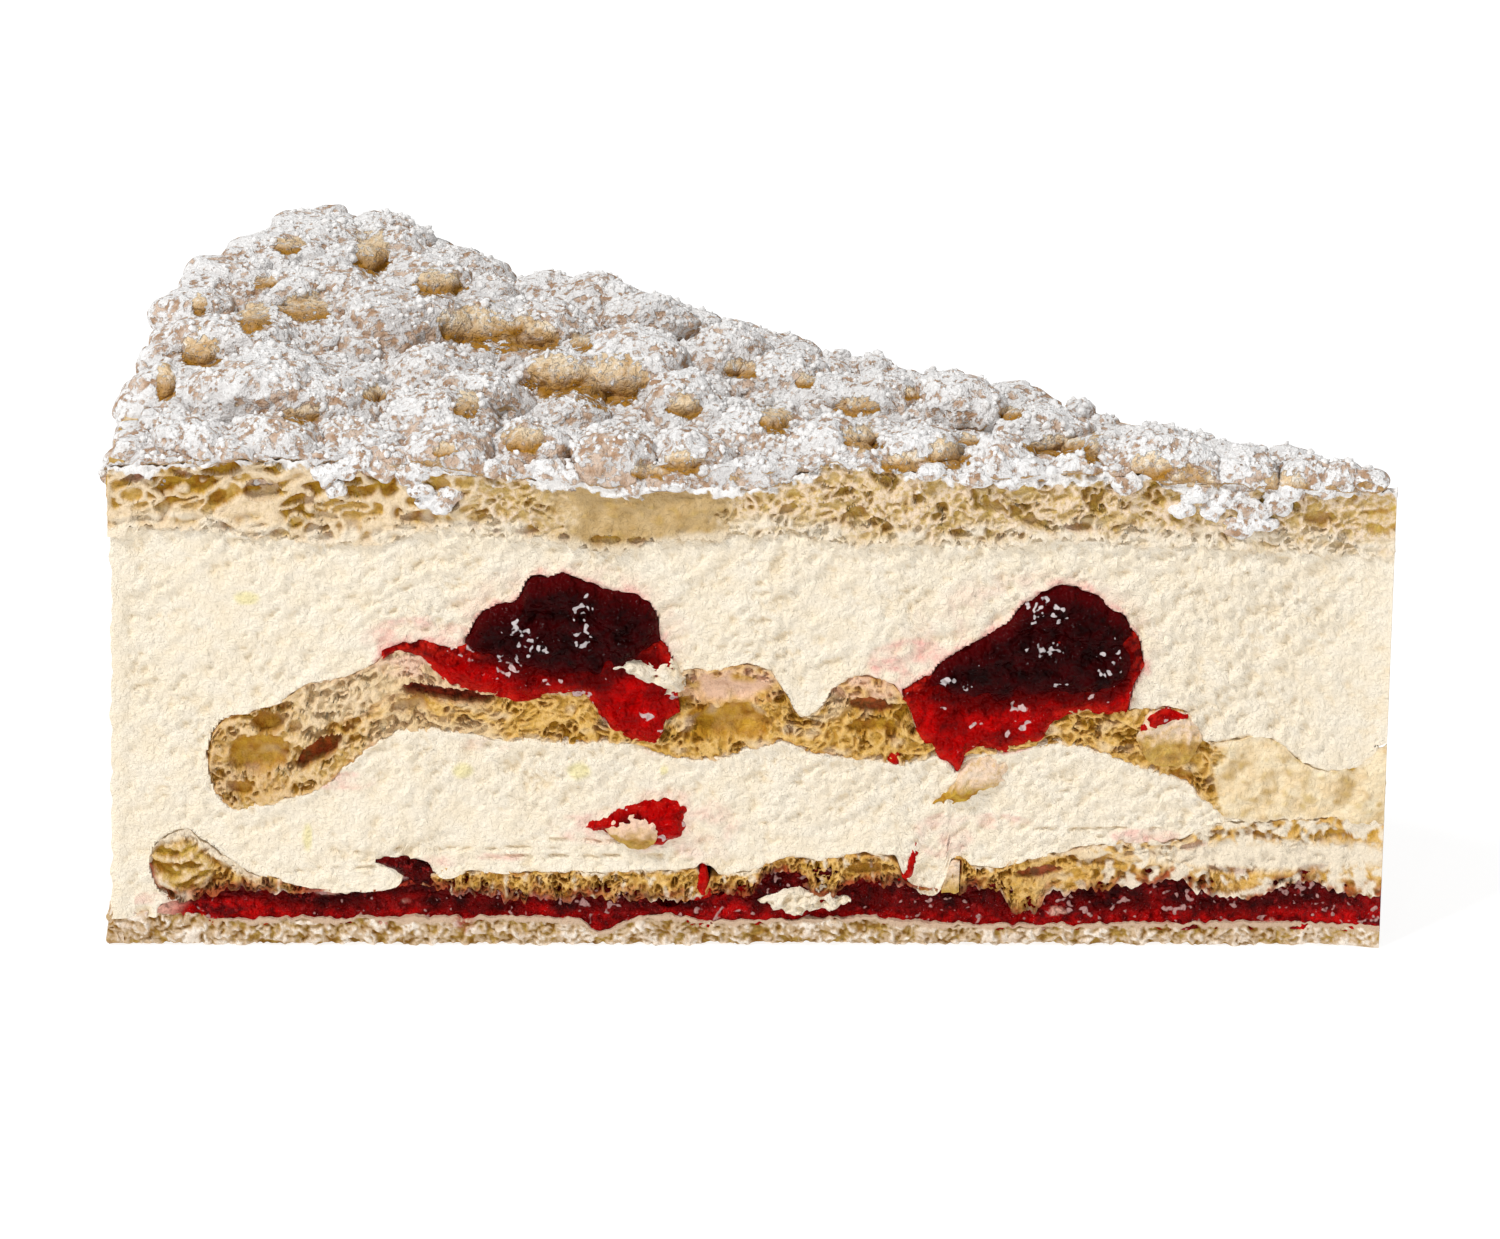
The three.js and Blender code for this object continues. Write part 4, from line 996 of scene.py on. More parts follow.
for name, finish, replaced, slot, proud, back, bottom_points, top_points in SMALL_PIECES:
    bottom, top = line(*bottom_points), line(*top_points)
    span = (bottom_points[0][0], bottom_points[-1][0])
    wide = span[1] - span[0]
    columns, rows = int(10 + 5 * wide), int(10 + 2.5 * wide)
    wet = wet_relief(bottom, top, span, proud, back, 1.6, 170)
    form = span_form(bottom, top, span, 0, SMALL_DEPTH / (span[1] * SLICE_ANGLE))
    piece = layer(name, columns, rows, 6, form, wet)
    if finish in (choux, cream):
        places = read_points(piece.data) * 1000
        torn = 0.8 * mottle(places, 0.9, 175) + 0.5 * mottle(places, 0.45, 176)
        places[:, 1] += (0.4 if finish is choux else 1.1) * torn * ramp(2.2, 1.2, places[:, 1] - NEAR_CUT_Y)
        write_points(piece.data, places)
        low_down = ramp(places[:, 2].mean() + 1.2, places[:, 2].mean() - 1.2, places[:, 2] - 1.2 * torn)
        high_up = 1 - low_down
        blush = 0.8 if name == "pocket_pastry_cut" else 0.25
        oily = 1.0 if name == "choux_flap_cut" else 0.6
        if finish is choux:
            paint(piece.data, {"olive": oily * low_down, "pink": blush * high_up, "web": high_up,
                               "cream": 0.6 * ramp(-0.1, 0.4, torn) * high_up, "golden": 0.35 * low_down})
        else:
            # Painted shade in the hollows of the torn cream.
            paint(piece.data, {"pit": 0.8 * ramp(-0.1, 0.5, torn)})
    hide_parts(replaced)
    piece.data.materials.append(finish)

# Top choux sheet. The third sheet, about 7 mm thick under the streusel: flaky and hollow towards the rim, a
# dense yellow band in the middle and fine pores towards the tip.
TOP_END = 139.7
HIDDEN_LEVEL = 55.4
top_top = line((0, 54.6), (14.2, 55), (23, 55.6), (31.7, 56.8), (42.7, 56.3), (53.6, 56.9), (61.3, 58),
               (68.9, 55.4), (75.5, 54.9), (86.4, 55.4), (95.2, 56.2), (105, 57.8), (119.3, 58.2),
               (130.2, 58), (139.8, 57.2))
TOP_HOLLOWS = (
    (90.5, 49.2, 0.6, 0.35, 0, 0.9, 0.9, 0.2), (100.2, 50.6, 0.9, 0.4, 10, 1, 1, 0.1),
    (107, 51.4, 1.3, 0.5, -8, 1.2, 1, 0.1), (82.6, 48.7, 1.2, 0.5, 8, 1.1, 1, 0.1),
    (97.8, 49.9, 0.5, 0.35, 0, 0.9, 0.8, 0.3), (116.4, 51.6, 1.6, 0.45, 6, 1.2, 1, 0),
    (112.6, 54.4, 1.4, 0.5, 20, 1.2, 0.8, 0.1), (123.2, 54.5, 2.1, 1.1, 0, 2, 1, 0.05),
    (103, 53.2, 1.1, 0.9, 20, 1.6, 1, 0.1), (86.2, 48.7, 1.8, 0.6, 0, 1.2, 1, 0.05),
    (137, 56, 1.3, 0.45, -12, 1.5, 0.5, 0.5), (131.4, 56.4, 1.3, 0.4, 15, 1.4, 0.7, 0.3),
    (127.9, 53.6, 1.1, 0.6, -30, 1.3, 0.8, 0.2), (118.4, 53.4, 1.2, 0.6, 25, 1.3, 0.9, 0.1),
    (94.6, 49.8, 1.3, 0.5, 0, 1.2, 1, 0.1), (59, 51.8, 1, 0.9, 0, 1.3, 0.9, 0.1),
    (44.5, 52.6, 1.3, 0.5, 10, 1.2, 0.9, 0.1), (35.4, 50.3, 1.7, 0.4, 5, 1.2, 0.8, 0.3),
    (9.5, 51.4, 1.5, 0.7, -8, 1.3, 1, 0.05), (3.4, 50.2, 1.1, 0.6, 8, 1.2, 1, 0.05),
    (66.4, 52.4, 1, 0.6, -20, 1.1, 0.9, 0),
)
top_torn = choux_relief(top_bottom, top_top, TOP_HOLLOWS, 0.75, ((73, 92),), 1.35, 210)
rim_torn = choux_relief(top_bottom, top_top, TOP_HOLLOWS, 1.3, (), 1.5, 310)


def top_relief(r, z, v, side):
    at = cut_points(r, z, side, 1.3)
    towards_rim = ramp(97, 103, r + 2 * mottle(at, 3, 220))
    depth, shares = slid_over(top_torn(r, z, v, side), rim_torn(r, z, v, side), towards_rim)
    shifted = far_radius(r, side)
    under_sugar = top_top(shifted) - z + 1.5 * mottle(at, 2.6, 221) + 0.5 * mottle(at, 1.0, 222)
    over_cream = z - top_bottom(shifted) + 0.5 * mottle(at, 3.4, 223) + 0.35 * mottle(at, 1.0, 224)
    depth -= 0.2 * ramp(0.7, 0, z - top_bottom(shifted))
    chalky = 0.85 * ramp(3, 1, over_cream) * ramp(-0.4, 0.2, mottle(at, 1.6, 225)) * (1 - shares["even"])
    shares["cream"] = np.maximum(0.6 * ramp(1.1, 0.1, over_cream), chalky)
    grainy = under_sugar - 0.9 * mottle(at, 0.55, 217) - 0.8 * mottle(at, 1.2, 216)
    shares["dusted"] = ramp(0.9, 0.5, grainy)
    shares["ochre"] = shares["even"]
    shares["olive"] = shares["olive"] * (1 + 0.5 * towards_rim - 0.2 * ramp(74, 62, r))
    shares["cream"] = np.maximum(shares["cream"], 0.45 * towards_rim * ramp(0.3, 0.8, shares["web"]))
    shares["skin"] = shares["skin"] * ramp(2, 4, over_cream) * 0.5
    shares["golden"] = 0.55 * ramp(98, 106, r)
    return depth - 0.25 * shares["cream"] - 0.35 * shares["dusted"], shares


top_choux = layer("top_choux_cut", 820, 36, 8, sheet_form(top_bottom, top_top, TOP_END, 1.3, HIDDEN_LEVEL),
                  top_relief, crisp=60)


def top_rim_form(u, v, w):
    """The baked edge of the top sheet, a band along the rim."""
    at = rim_points(w, v * 7.4)
    torn = 0.35 * mottle(at, 1.8, 226) + 0.3 * mottle(at, 0.8, 227)
    return 138.1 + u * (1.6 + torn), w, 49.7 + 0.5 * mottle(at, 3, 228) * (1 - v) + 7.2 * v


top_rim = layer("top_choux_rim", 4, 24, 150, top_rim_form, lambda r, z, v, side: (0.9 + 0 * r, {}))
places = read_points(top_rim.data) * 1000
leafy = mottle(places * (1, 1, 1.8), 2.4, 229) + 0.5 * mottle(places, 0.9, 219)
paint(top_rim.data, {"olive": ramp(0, -0.5, leafy), "web": ramp(0.1, 0.5, leafy),
                     "golden": 0.5 * ramp(0.5, 0, leafy),
                     "skin": 0.6 * ramp(0.2, 0.6, mottle(places, 3.4, 218)),
                     "cream": 0.7 * ramp(51.2, 50, places[:, 2])})
for piece in (top_choux, top_rim):
    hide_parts("choux_top")
    piece.data.materials.append(choux)

# Streusel. Crumbs of butter, sugar and flour, rubbed between the fingers, strewn thickly and baked onto the
# sheet: lumps of 3 to 14 mm on a bed of finer ones. Icing sugar clings to all but their steep sides.
random = np.random.default_rng(11)
PEAK = 63.3
BED_FLOOR = 54.6


def heap(r, t):
    """The level of the streusel's bed."""
    at = np.stack([r, t * SLICE_ANGLE * r, 0 * r], axis=-1)
    hills = 4.6 * np.exp(-((r - 130) / 20) ** 2 - ((t - 0.62) / 0.36) ** 2)
    hills += 0.8 * np.exp(-((r - 92) / 13) ** 2 - ((t - 0.6) / 0.4) ** 2)
    hills += 1.4 * np.exp(-((r - 51) / 12) ** 2 - ((t - 0.9) / 0.35) ** 2)
    for at_r, half, drop in ((110, 7, 1.4), (97, 7, 1), (53, 5, 1.3), (36, 5, 1.5), (137, 5, -1.1)):
        hills -= drop * np.exp(-((r - at_r) / half) ** 2) * ramp(0.6, 0.85, t)
    level = 57 + hills + 0.8 * mottle(at, 12, 231) + 0.3 * mottle(at, 5, 230) - 1.4 * ramp(62, 38, r)
    level -= (1.4 * ramp(88, 66, r) * ramp(52, 60, r) + 1.2 * ramp(39, 33, r)) * ramp(0.5, 0.85, t)
    from_cut = np.minimum(t, 1 - t) * SLICE_ANGLE * r
    edge = top_top(r) - ramp(0.4, 0.6, t) * np.maximum(top_top(r) - HIDDEN_LEVEL, 0)
    return np.maximum(level, edge + 0.3 - 4 * ramp(2, 10, from_cut)) - 1.5 * ramp(136, 139, r)


def bed_form(u, v, w):
    r = 3 + (139 - 3) * u
    rim = rim_points(w, 57 + 4 * v)
    r = r - ramp(0.96, 1, u) * (1 + 0.8 * mottle(rim, 3, 246) + 0.4 * mottle(rim, 1.2, 247))
    return r, w, BED_FLOOR + (heap(r, w) - BED_FLOOR) * v


def bed_relief(r, z, v, side):
    at = cut_points(r, z, side)
    edge = z - top_top(far_radius(r, side)) + 0.7 + 0.8 * mottle(at, 2.4, 232)
    return 0.05 - 0.35 * mottle(at, 2.6, 233) - 0.3 * mottle(at, 1.1, 234) + 1.6 * ramp(0.3, -0.4, edge), {}


def round_grains(points, size, seed):
    """Rounded lumps of that size, packed side by side: 1 on their tops and 0 between them."""
    first, _, _ = grains(points, size, seed)
    return np.sqrt(np.clip(1 - first ** 2, 0, 1))


bed = layer("streusel_bed", 310, 10, 135, bed_form, bed_relief, crisp=180)
bed_points = read_points(bed.data) * 1000
upper = ramp(55.4, 56.2, bed_points[:, 2])
flat = bed_points * (1, 1, 0)
bed_points[:, 2] += upper * (1.6 * round_grains(flat, 3.6, 235) + 0.7 * round_grains(flat, 1.6, 236) - 1.6)
write_points(bed.data, bed_points)

# Each bare patch is a place where a crumb's buttery side shows, as it is seen from the front and 25 degrees
# above: (right of the middle, above the middle, half width, half height)
BARE_PATCHES = (
    (-40.5, 40.1, 1.8, 2.4), (-49.5, 40.5, 1.6, 0.9), (-53.2, 33.1, 1.7, 1.6), (-47.8, 34, 2.6, 1.5),
    (-33.8, 36.7, 2.8, 1.4), (-29.8, 32.2, 3.6, 2), (-24.3, 31.3, 3.7, 1.9), (-21.2, 27.1, 3, 2.3),
    (-15.1, 26.6, 4, 2.6), (-18.4, 30.2, 1.2, 1), (-58.8, 29.5, 2, 1.8), (-62.7, 26.2, 1, 2),
    (-59, 34.2, 0.8, 1.2), (-48.1, 22.6, 1.9, 0.9), (-30.4, 23.7, 1.4, 1.6), (-24.7, 19.9, 2.4, 1.5),
    (-7.3, 23.4, 1.5, 1.4), (-7.7, 17.6, 1.9, 1.3), (-11, 16.4, 2, 0.9), (-37.6, 16.3, 1.6, 0.8),
    (2.5, 22.2, 1.7, 1.4), (11.3, 23.4, 2.2, 1), (11.6, 20.1, 2, 1.4), (20.7, 18.4, 2, 1.6),
    (16.6, 17.4, 2.4, 1.1), (42.3, 17, 2, 1.6), (47, 14.8, 2.9, 1.9), (56.8, 15, 2, 1.5),
    (54.6, 11.7, 1.5, 1.4), (32.5, 19.3, 3.2, 1), (-1.3, 27.3, 1.8, 1), (16.9, 24.6, 1, 0.7),
    (23.2, 19.8, 1, 0.8), (36.4, 18.9, 0.7, 1.5), (-40.5, 24.6, 1.4, 0.8), (-33, 18.6, 1.2, 0.9),
    (-52, 36.6, 1.2, 0.8), (5.6, 26, 1.1, 0.8), (27.6, 22.6, 1.2, 0.7), (63.4, 13.2, 1.1, 0.9),
)


def bare_at(points):
    """How bare of sugar the crumbs are at each point, how much brown shade is painted on them, and how far
    they swell there.
    """
    tilt = math.radians(25)
    x, y, z = (points - (TORTE_CENTRE_X - 69.4, NEAR_CUT_Y, 39.3)).T
    closer = 800 / (800 + y * math.cos(tilt) - z * math.sin(tilt))
    right, up = x * closer, (y * math.sin(tilt) + z * math.cos(tilt)) * closer
    wobble = 0.42 * mottle(points, 1.8, 237) + 0.26 * mottle(points, 0.8, 238)
    bare, painted_brown_shade, swell = np.zeros(len(points)), np.zeros(len(points)), np.zeros(len(points))
    for at_right, at_up, half_wide, half_high in BARE_PATCHES:
        rise = (up - at_up) / half_high
        reach = np.hypot((right - at_right) / half_wide, rise) + wobble
        higher, lower = np.clip(rise, 0, 1), 0.3 * np.clip(-rise, 0, 1)
        bare = np.maximum(bare, ramp(1.25 + 0.3 * higher + lower, 0.8 - 0.8 * higher + lower, reach))
        # Painted shade: brown in the crease below each bare patch and on its underside.
        crease = ramp(0.1, -0.6, rise + 0.4 * wobble) * ramp(1.55, 1.2, reach) * ramp(0.75, 1.05, reach)
        underside = 0.85 * ramp(0.3, -0.9, rise + 0.6 * wobble) * ramp(1.3, 1.1, reach)
        painted_brown_shade = np.maximum(painted_brown_shade, np.maximum(crease, underside))
        dome = 0.35 * min(half_high, 2) * np.sqrt(np.clip(1 - reach ** 2, 0, 1))
        swell = np.maximum(swell, dome - 0.4 * crease)
    return bare, painted_brown_shade, swell


# Each large crumb is (distance along the near cut, distance behind it, half width, how bare)
LARGE_CRUMBS = (
    (118, 57, 6.2, 0.5), (111.6, 54, 3.8, 1), (104, 50, 5.6, 0.6), (121, 41.6, 5, 0.7), (116, 41, 3.8, 0.8),
    (130.5, 28.6, 3.6, 1), (134.6, 20, 3.5, 0.8), (99.6, 35, 5.2, 0.9), (93, 35, 5.2, 0.8),
    (91.4, 22, 4.2, 0.8), (84.8, 24.5, 6.2, 0.9), (111, 34, 7.4, 0), (124.7, 18, 6.6, 0.1),
    (117, 14.5, 5.6, 0.3), (99.6, 17, 4.4, 0.6), (105.6, 21, 5.4, 0), (130, 5, 4.6, 0.2),
    (121.4, 4.6, 5, 0.1), (111.6, 5, 4.6, 0.1), (102.3, 3.4, 4.6, 0.2), (94, 5, 4.6, 0.6),
    (85.3, 3.4, 4.2, 0.2), (77.7, 15.5, 4.8, 0.5), (76.6, 4.6, 3.6, 0.7), (82, 39, 5.6, 0.1),
    (89, 45, 5, 0.3), (73.3, 30, 4.8, 0.5), (67.3, 23.4, 5, 0.3), (70, 9, 4.8, 0.3), (61.3, 20.7, 4.8, 0.1),
    (62.4, 4.8, 4.6, 0.3), (55.8, 18, 4.8, 0.3), (53.6, 4.8, 4.6, 0.1), (48.1, 15.5, 4.6, 0),
    (44.3, 3.8, 4.6, 0.4), (39.4, 11.6, 4.6, 0.1), (33.9, 5, 3.8, 0.3), (25.2, 2.6, 4.8, 0.9),
    (26, 8.5, 4.2, 0), (17.5, 2.2, 3.8, 0.7), (10.9, 2, 2.6, 0.5), (7, 1.3, 2, 0.4), (4.4, 0.8, 1.5, 0.3),
    (132.2, 36.5, 4.3, 0.2), (130, 44.5, 3.8, 0.2), (123.6, 49, 5, 0.1), (108.3, 43, 5.4, 0),
    (101.5, 42.5, 4.2, 0.2), (125.6, 29.5, 5.6, 0.2), (95.2, 47, 4, 0.3), (105, 10, 4.8, 0),
    (113.5, 62, 4.4, 0.2),
)


def on_cut(across, behind):
    """The place in the slice of a point that far from the tip along the near cut and that far behind it."""
    return math.hypot(across, behind), math.atan2(behind, across) / SLICE_ANGLE


def scattered(count, least, most):
    """Places for that many loose crumbs: (r, t, half width, how bare)."""
    spots = []
    while len(spots) < count:
        r = TORTE_RADIUS * math.sqrt(random.uniform(0.0008, 0.97))
        t = random.uniform(0, 1)
        half = least + (most - least) * random.random() ** 1.6
        if r * SLICE_ANGLE * min(t, 1 - t) > 0.45 * half - 0.2 and r < 138.9 - 0.7 * half:
            spots.append((r, t, min(half, 0.3 * r * SLICE_ANGLE + 0.5), random.random() ** 2))
    return spots


def ball(subdivisions):
    """The points and the faces of a round ball of radius 1."""
    bm = bmesh.new()
    bmesh.ops.create_icosphere(bm, subdivisions=subdivisions, radius=1)
    points = np.array([vertex.co for vertex in bm.verts])
    faces = np.array([[vertex.index for vertex in face.verts] for face in bm.faces])
    bm.free()
    return points, faces


def gathered(name, points, faces):
    """One object of many like lumps, each with its points in millimetres and the faces of a ball."""
    mesh = bpy.data.meshes.new(name)
    numbered = [faces + len(lump) * k for k, lump in enumerate(points)]
    mesh.from_pydata((np.concatenate(points) * 0.001).tolist(), [], np.concatenate(numbered).tolist())
    return laid(mesh)


def crumb_heap(name, spots, subdivisions, sunk):
    """Lumpy crumbs, each sunk into the heap by that share of its half width."""
    ball_points, ball_faces = ball(subdivisions)
    lumps, bareness = [], []
    for r, t, half, bare in spots:
        spot = place(np.array([r]), np.array([t]), np.array([60.0]))[0]
        spot[2] = heap(np.array([r]), np.array([t]))[0] - sunk * half + random.uniform(-0.12, 0.12) * half
        spot[2] = min(spot[2], PEAK - 0.8 * half)
        if subdivisions < 4 and bare_at(spot[None])[0][0] > 0.3:
            continue
        shape = half * np.array([random.uniform(1, 1.25), random.uniform(0.85, 1.1),
                                 random.uniform(0.62, 0.8)])
        turn = Euler((random.uniform(-0.3, 0.3), random.uniform(-0.3, 0.3), random.uniform(-0.7, 0.7)))
        arm = (ball_points * shape) @ np.array(turn.to_matrix()).T
        lump = spot + arm
        swell = 0.3 * mottle(lump, 1.1 * half + 1, 241) + 0.14 * mottle(lump, 2, 242)
        swell += 0.07 * mottle(lump, 0.9, 243)
        lump = spot + arm * (1 + swell[:, None])
        if subdivisions > 3:
            outward = arm / np.linalg.norm(arm, axis=-1, keepdims=True)
            sugar = 0.3 * round_grains(lump, 1.7, 248) + 0.16 * round_grains(lump, 0.9, 249)
            bald, _, dome = bare_at(lump)
            lump = lump + outward * ((1 - bald) * sugar + dome)[:, None]
        lumps.append(lump)
        bareness.append(np.full(len(lump), bare))
    points = np.concatenate(lumps)
    over = points[:, 2] - PEAK + 1.2
    points[:, 2] = np.where(over > 0, PEAK - 1.2 + 1.2 * np.tanh(over / 1.2), points[:, 2])
    from_centre = np.hypot(points[:, 0] - TORTE_CENTRE_X, points[:, 1] - NEAR_CUT_Y)
    under_edge = ramp(0.4, -1, points[:, 2] - top_top(from_centre) + 0.6 * mottle(points, 2, 253))
    front = NEAR_CUT_Y - 0.5 + 0.3 * mottle(points, 1.6, 245) + 2.2 * under_edge
    points[:, 1] = np.maximum(points[:, 1], front)
    return gathered(name, np.split(points, len(lumps)), ball_faces), np.concatenate(bareness)


large_spots = [(*on_cut(x, y), half, bare) for x, y, half, bare in LARGE_CRUMBS]
large = [crumb_heap(f"streusel_crumbs_large_{k + 1}", large_spots[k::2], 5, 0.05) for k in (0, 1)]
RIM_CRUMBS = 26
rim_spots = [(138.5 - 1.2 * random.random(), (k + random.random()) / RIM_CRUMBS, random.uniform(1.6, 3), 0.3)
             for k in range(RIM_CRUMBS)]
medium = crumb_heap("streusel_crumbs_medium", scattered(84, 1.6, 3.2) + rim_spots, 4, 0.1)
small = crumb_heap("streusel_crumbs_small", scattered(420, 0.7, 1.6), 2, -0.1)


def sift(obj, bareness):
    """Paints how much sugar lies at each point, least under overhangs and in the bare patches, a grey painted
    shade on the sugar in the heap's valleys, on slopes turned from the key light and over one dome, and brown
    painted shade on the crumbs under overhangs.
    """
    mesh = obj.data
    normals = np.empty(len(mesh.vertices) * 3, np.float32)
    mesh.vertex_normals.foreach_get("vector", normals)
    facing = normals.reshape(-1, 3) @ np.array([-0.1, 0.25, 0.95])
    points = read_points(mesh) * 1000
    blotch = 0.3 * mottle(points, 3.4, 251) + 0.22 * mottle(points, 1.3, 252)
    under = ramp(-0.35, -0.75, facing + blotch - 0.25 * bareness)
    bare, painted_brown_shade, _ = bare_at(points)
    across, behind = TORTE_CENTRE_X - points[:, 0], points[:, 1] - NEAR_CUT_Y
    from_tip = np.hypot(across, behind)
    above_bed = points[:, 2] - heap(from_tip, np.arctan2(behind, across) / SLICE_ANGLE)
    # Grey painted shade on the sugar: in the heap's low places, on slopes turned from the key light and over
    # one dome.
    painted_sugar_shade = ramp(0.9, -1.1, above_bed + 0.8 * mottle(points, 4, 254)) * ramp(0.3, 2.5, behind)
    shady = ramp(0.85, 0.3, normals.reshape(-1, 3) @ np.array([-0.4, 0.3, 0.87]) + 0.3 * blotch)
    painted_dome_shade = np.exp(-((across - 103) / 9) ** 2 - ((behind - 33) / 10) ** 2)
    painted_sugar_shade = np.maximum(painted_sugar_shade, 0.5 * shady + 0.6 * painted_dome_shade) * (1 - 0.6 * ramp(131, 137, from_tip))
    painted_sugar_shade = painted_sugar_shade * ramp(5, 75, across) * (1 - 0.8 * bare)
    thin = ramp(0.75, 0.2, facing + 1.2 * blotch) + 0.35 * ramp(10, 4, behind)
    thin -= 1.5 * ramp(80, 50, across) * ramp(25, 45, across) + 0.4 * ramp(45, 25, across)
    thin -= 1.2 * ramp(120, 130, from_tip)
    # Under overhangs the crumb is also painted brown as shade.
    paint(mesh, {"sugar": 1 - np.maximum(bare, under), "painted_sugar_shade": painted_sugar_shade, "thin": thin,
                 "painted_brown_shade": np.maximum(painted_brown_shade, 0.7 * under)})


streusel, tree, shader = material("sugared_streusel", Roughness=0.8, Specular_IOR_Level=0.2)
crumb = blotched(tree, 2.4, 0.35, 0.65, (0.8, 0.58, 0.34), (0.92, 0.74, 0.51))
crumb = mixed(tree, speckle(tree, 0.8, 0.5, 0.64), crumb, (0.94, 0.86, 0.74))
crumb = mixed(tree, speckle(tree, 1.7, 0.52, 0.7), crumb, (0.66, 0.42, 0.2))
# Painted shade: brown on the crumbs below the bare patches and under overhangs.
crumb = mixed(tree, share(tree, "painted_brown_shade"), crumb, (0.42, 0.19, 0.015))
grain = speckle(tree, 0.95, 0, 1, 3)
worn = times_plus(tree, speckle(tree, 4.5, 0.35, 0.65, 1), 0.13, grain)
chinks = above(tree, times_plus(tree, share(tree, "thin"), 0.07, worn), 0.58, 0.68)
white = blotched(tree, 0.5, 0.3, 0.6, (0.82, 0.79, 0.77), (0.98, 0.97, 0.96))
# Painted shade: the sugar turns grey in the heap's valleys and on its shaded slopes.
white = mixed(tree, times(tree, share(tree, "painted_sugar_shade"), 0.8), white, (0.53, 0.49, 0.47))
seen_through = blotched(tree, 1.5, 0.4, 0.6, (0.46, 0.28, 0.17), (0.72, 0.55, 0.43))
sugar_colour = mixed(tree, chinks, white, seen_through)
coat = times_plus(tree, share(tree, "sugar"), 0.6, speckle(tree, 0.75, 0.2, 0.8, 4))
covered = above(tree, coat, 0.66, 0.76)
coloured(tree, shader, mixed(tree, covered, crumb, sugar_colour))
pitted = times_plus(tree, chinks, -0.7, speckle(tree, 0.5, 0.3, 0.7, 3))
bumped(tree, shader, times_plus(tree, covered, 0.8, pitted), 0.28)
for piece, bareness in ((bed, np.zeros(len(bed_points))), *large, medium, small):
    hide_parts("streusel_topping")
    sift(piece, bareness)
    piece.data.materials.append(streusel)

# Icing sugar clumps. Damp icing sugar gathers in soft white grains of a quarter to one millimetre, all over
# the heap and down onto the edge of the top sheet.
vertices, polygons = [], []
for piece in (bed, large[0][0], large[1][0], medium[0], small[0], top_choux):
    offset = len(vertices)
    vertices += [vertex.co.copy() for vertex in piece.data.vertices]
    polygons += [[offset + i for i in polygon.vertices] for polygon in piece.data.polygons]
surface = BVHTree.FromPolygons(vertices, polygons)
SIFTED_GRAINS = 5200
GRAIN_CEILING = 0.0632
hits = []
for _ in range(SIFTED_GRAINS):
    r = TORTE_RADIUS * math.sqrt(random.uniform(0.001, 0.965))
    spot = place(np.array([r]), np.array([random.uniform(0, 1)]), np.array([80.0]))[0] * 0.001
    hit, normal, _, _ = surface.ray_cast(Vector(spot), Vector((0, 0, -1)))
    if hit is not None and normal.z > 0.35 and hit.z < GRAIN_CEILING:
        hits.append(hit)
middles = np.array(hits) * 1000
ball_points, ball_faces = ball(1)
lumps = []
for middle, how_bare in zip(middles, bare_at(middles)[0]):
    if how_bare < 0.5:
        half = 0.12 + 0.3 * random.random() ** 3
        turn = np.array(Euler(random.uniform(0, 3, 3)).to_matrix())
        shape = half * (1 + 0.5 * random.random((len(ball_points), 1))) * random.uniform(0.6, 1.4, 3)
        lumps.append((ball_points * shape) @ turn.T + middle)
sugar_grains = gathered("icing_sugar_clumps", lumps, ball_faces)
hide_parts("streusel_topping")
icing_sugar, tree, shader = material("icing_sugar", Roughness=0.9, Specular_IOR_Level=0.2)
coloured(tree, shader, blotched(tree, 0.6, 0.4, 0.6, (0.86, 0.84, 0.82), (0.96, 0.95, 0.94)))
bumped(tree, shader, speckle(tree, 0.25, 0.3, 0.7, 2), 0.1)
sugar_grains.data.materials.append(icing_sugar)

# Sugar lumps on the front. Where crumbs have broken off, damp sugar has caked on the cut edge of the top
# sheet in chalky lumps of one to four millimetres. Each is (r, z, half width, half height).
SUGAR_LUMPS = (
    (14.2, 53.6, 1.5, 1.4), (16.4, 52.1, 1.7, 1.1), (18.6, 53.8, 1.5, 1.2), (20.8, 52.6, 1.3, 1.3),
    (17.2, 50.6, 1.5, 0.8), (22.6, 54.2, 1.2, 1), (15.2, 50.8, 1, 0.7), (12.6, 54.6, 1.2, 0.8),
    (9.4, 54.8, 1.3, 0.7), (24.2, 52.4, 0.7, 0.6), (116.2, 56.5, 1.2, 1.4), (114.4, 57.4, 1.4, 1),
    (112.2, 57.9, 1.6, 0.9), (109.8, 57, 1.7, 1), (107.2, 56.4, 1.4, 0.9), (105.6, 57.6, 1.5, 0.8),
    (104.7, 53.3, 1.4, 0.9), (103.1, 53.9, 0.8, 0.7), (106.2, 54.6, 0.7, 0.5), (115, 54.6, 0.7, 0.7),
    (83.6, 54.9, 1.1, 0.6), (78.4, 55.4, 0.9, 0.5), (92.8, 56.8, 1.2, 0.6), (89.8, 56.3, 0.8, 0.5),
    (98.4, 57.2, 1, 0.6), (46.2, 56, 1, 0.5), (42.8, 55.6, 0.8, 0.5), (30.4, 55.2, 0.9, 0.6),
    (51.4, 56.8, 0.8, 0.4),
)
ball_points, ball_faces = ball(4)
lumps = []
for at_r, at_z, half_r, half_z in SUGAR_LUMPS:
    middle = place(np.array([at_r]), np.array([0.0]), np.array([at_z]))[0] + (0, 0.5, 0)
    arm = ball_points * (half_r, 0.6, half_z)
    lump = middle + arm
    swell = 0.7 * mottle(lump, 1.4, 271) + 0.5 * mottle(lump, 0.7, 272)
    swell += (0.5 * round_grains(lump, 0.8, 273) + 0.3 * round_grains(lump, 0.45, 274)) / half_z - 0.3
    lumps.append(middle + arm * (1 + swell[:, None]))
sugar_lumps = gathered("icing_sugar_lumps", lumps, ball_faces)
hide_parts("streusel_topping")
paint(sugar_lumps.data, {"sugar": np.ones(len(sugar_lumps.data.vertices))})
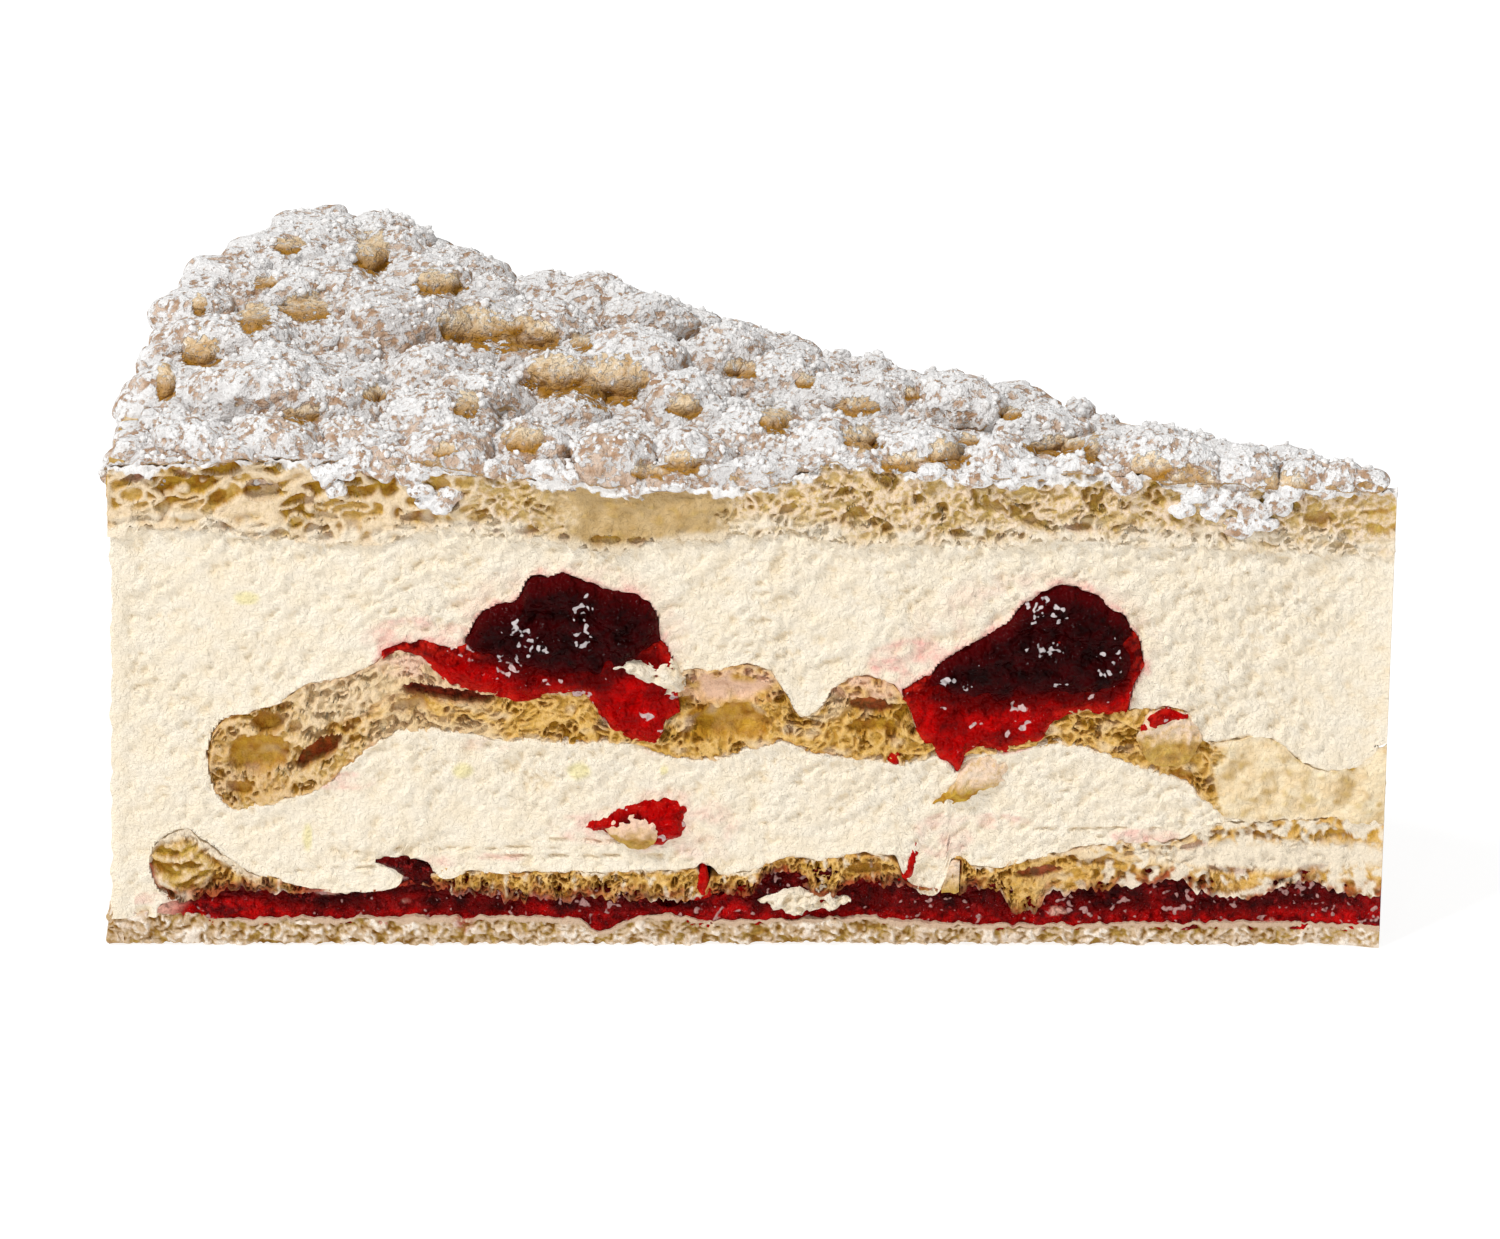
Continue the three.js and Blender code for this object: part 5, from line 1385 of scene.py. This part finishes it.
sugar_lumps.data.materials.append(streusel)

# The studio. A plain white floor, a soft light high on the left, a small one low in front that glints on the
# wet fruit, and white light from all round.
bm = bmesh.new()
bmesh.ops.create_grid(bm, x_segments=1, y_segments=1, size=6)
floor = bpy.data.objects.new("floor", mesh_of("floor", bm))
bpy.context.scene.collection.objects.link(floor)
white_floor, _, _ = material("white_floor", Roughness=0.9, Specular_IOR_Level=0.1,
                             Base_Color=(0.3, 0.3, 0.3, 1), Emission_Color=(1, 1, 1, 1),
                             Emission_Strength=0.84)
floor.data.materials.append(white_floor)

world = bpy.data.worlds.new("studio")
world.use_nodes = True
all_round = world.node_tree.nodes["Background"]
all_round.inputs["Color"].default_value = (1, 1, 1, 1)
all_round.inputs["Strength"].default_value = 0.47
bpy.context.scene.world = world


def softbox(name, at, size, power):
    lamp = bpy.data.lights.new(name, "AREA")
    lamp.shape = "SQUARE"
    lamp.size = size
    lamp.energy = power
    obj = bpy.data.objects.new(name, lamp)
    obj.location = at
    obj.rotation_euler = (Vector((0, 0, 0.03)) - Vector(at)).to_track_quat("-Z", "Y").to_euler()
    bpy.context.scene.collection.objects.link(obj)


softbox("key", (-0.84, -0.7, 1.75), 0.336, 27.8)
softbox("window", (-0.3, -1.1, 0.12), 0.03, 2)

# The camera stands where the photographer stood: square to the near cut, 25 degrees above it and 0.8 m away.
ELEVATION = math.radians(25)
DISTANCE = 0.8
SEEN_WIDTH = 0.1601
target = Vector((TORTE_CENTRE_X / 1000 - 0.0697, cad_low.y, 0.0397))
camera_data = bpy.data.cameras.new("camera")
camera_data.sensor_width = 36
camera_data.lens = 36 * DISTANCE / SEEN_WIDTH
camera_data.clip_start = 0.05
camera = bpy.data.objects.new("camera", camera_data)
camera.location = target + DISTANCE * Vector((0, -math.cos(ELEVATION), math.sin(ELEVATION)))
camera.rotation_euler = (math.pi / 2 - ELEVATION, 0, 0)
bpy.context.scene.collection.objects.link(camera)
bpy.context.scene.camera = camera
bpy.context.scene.view_settings.view_transform = "Standard"
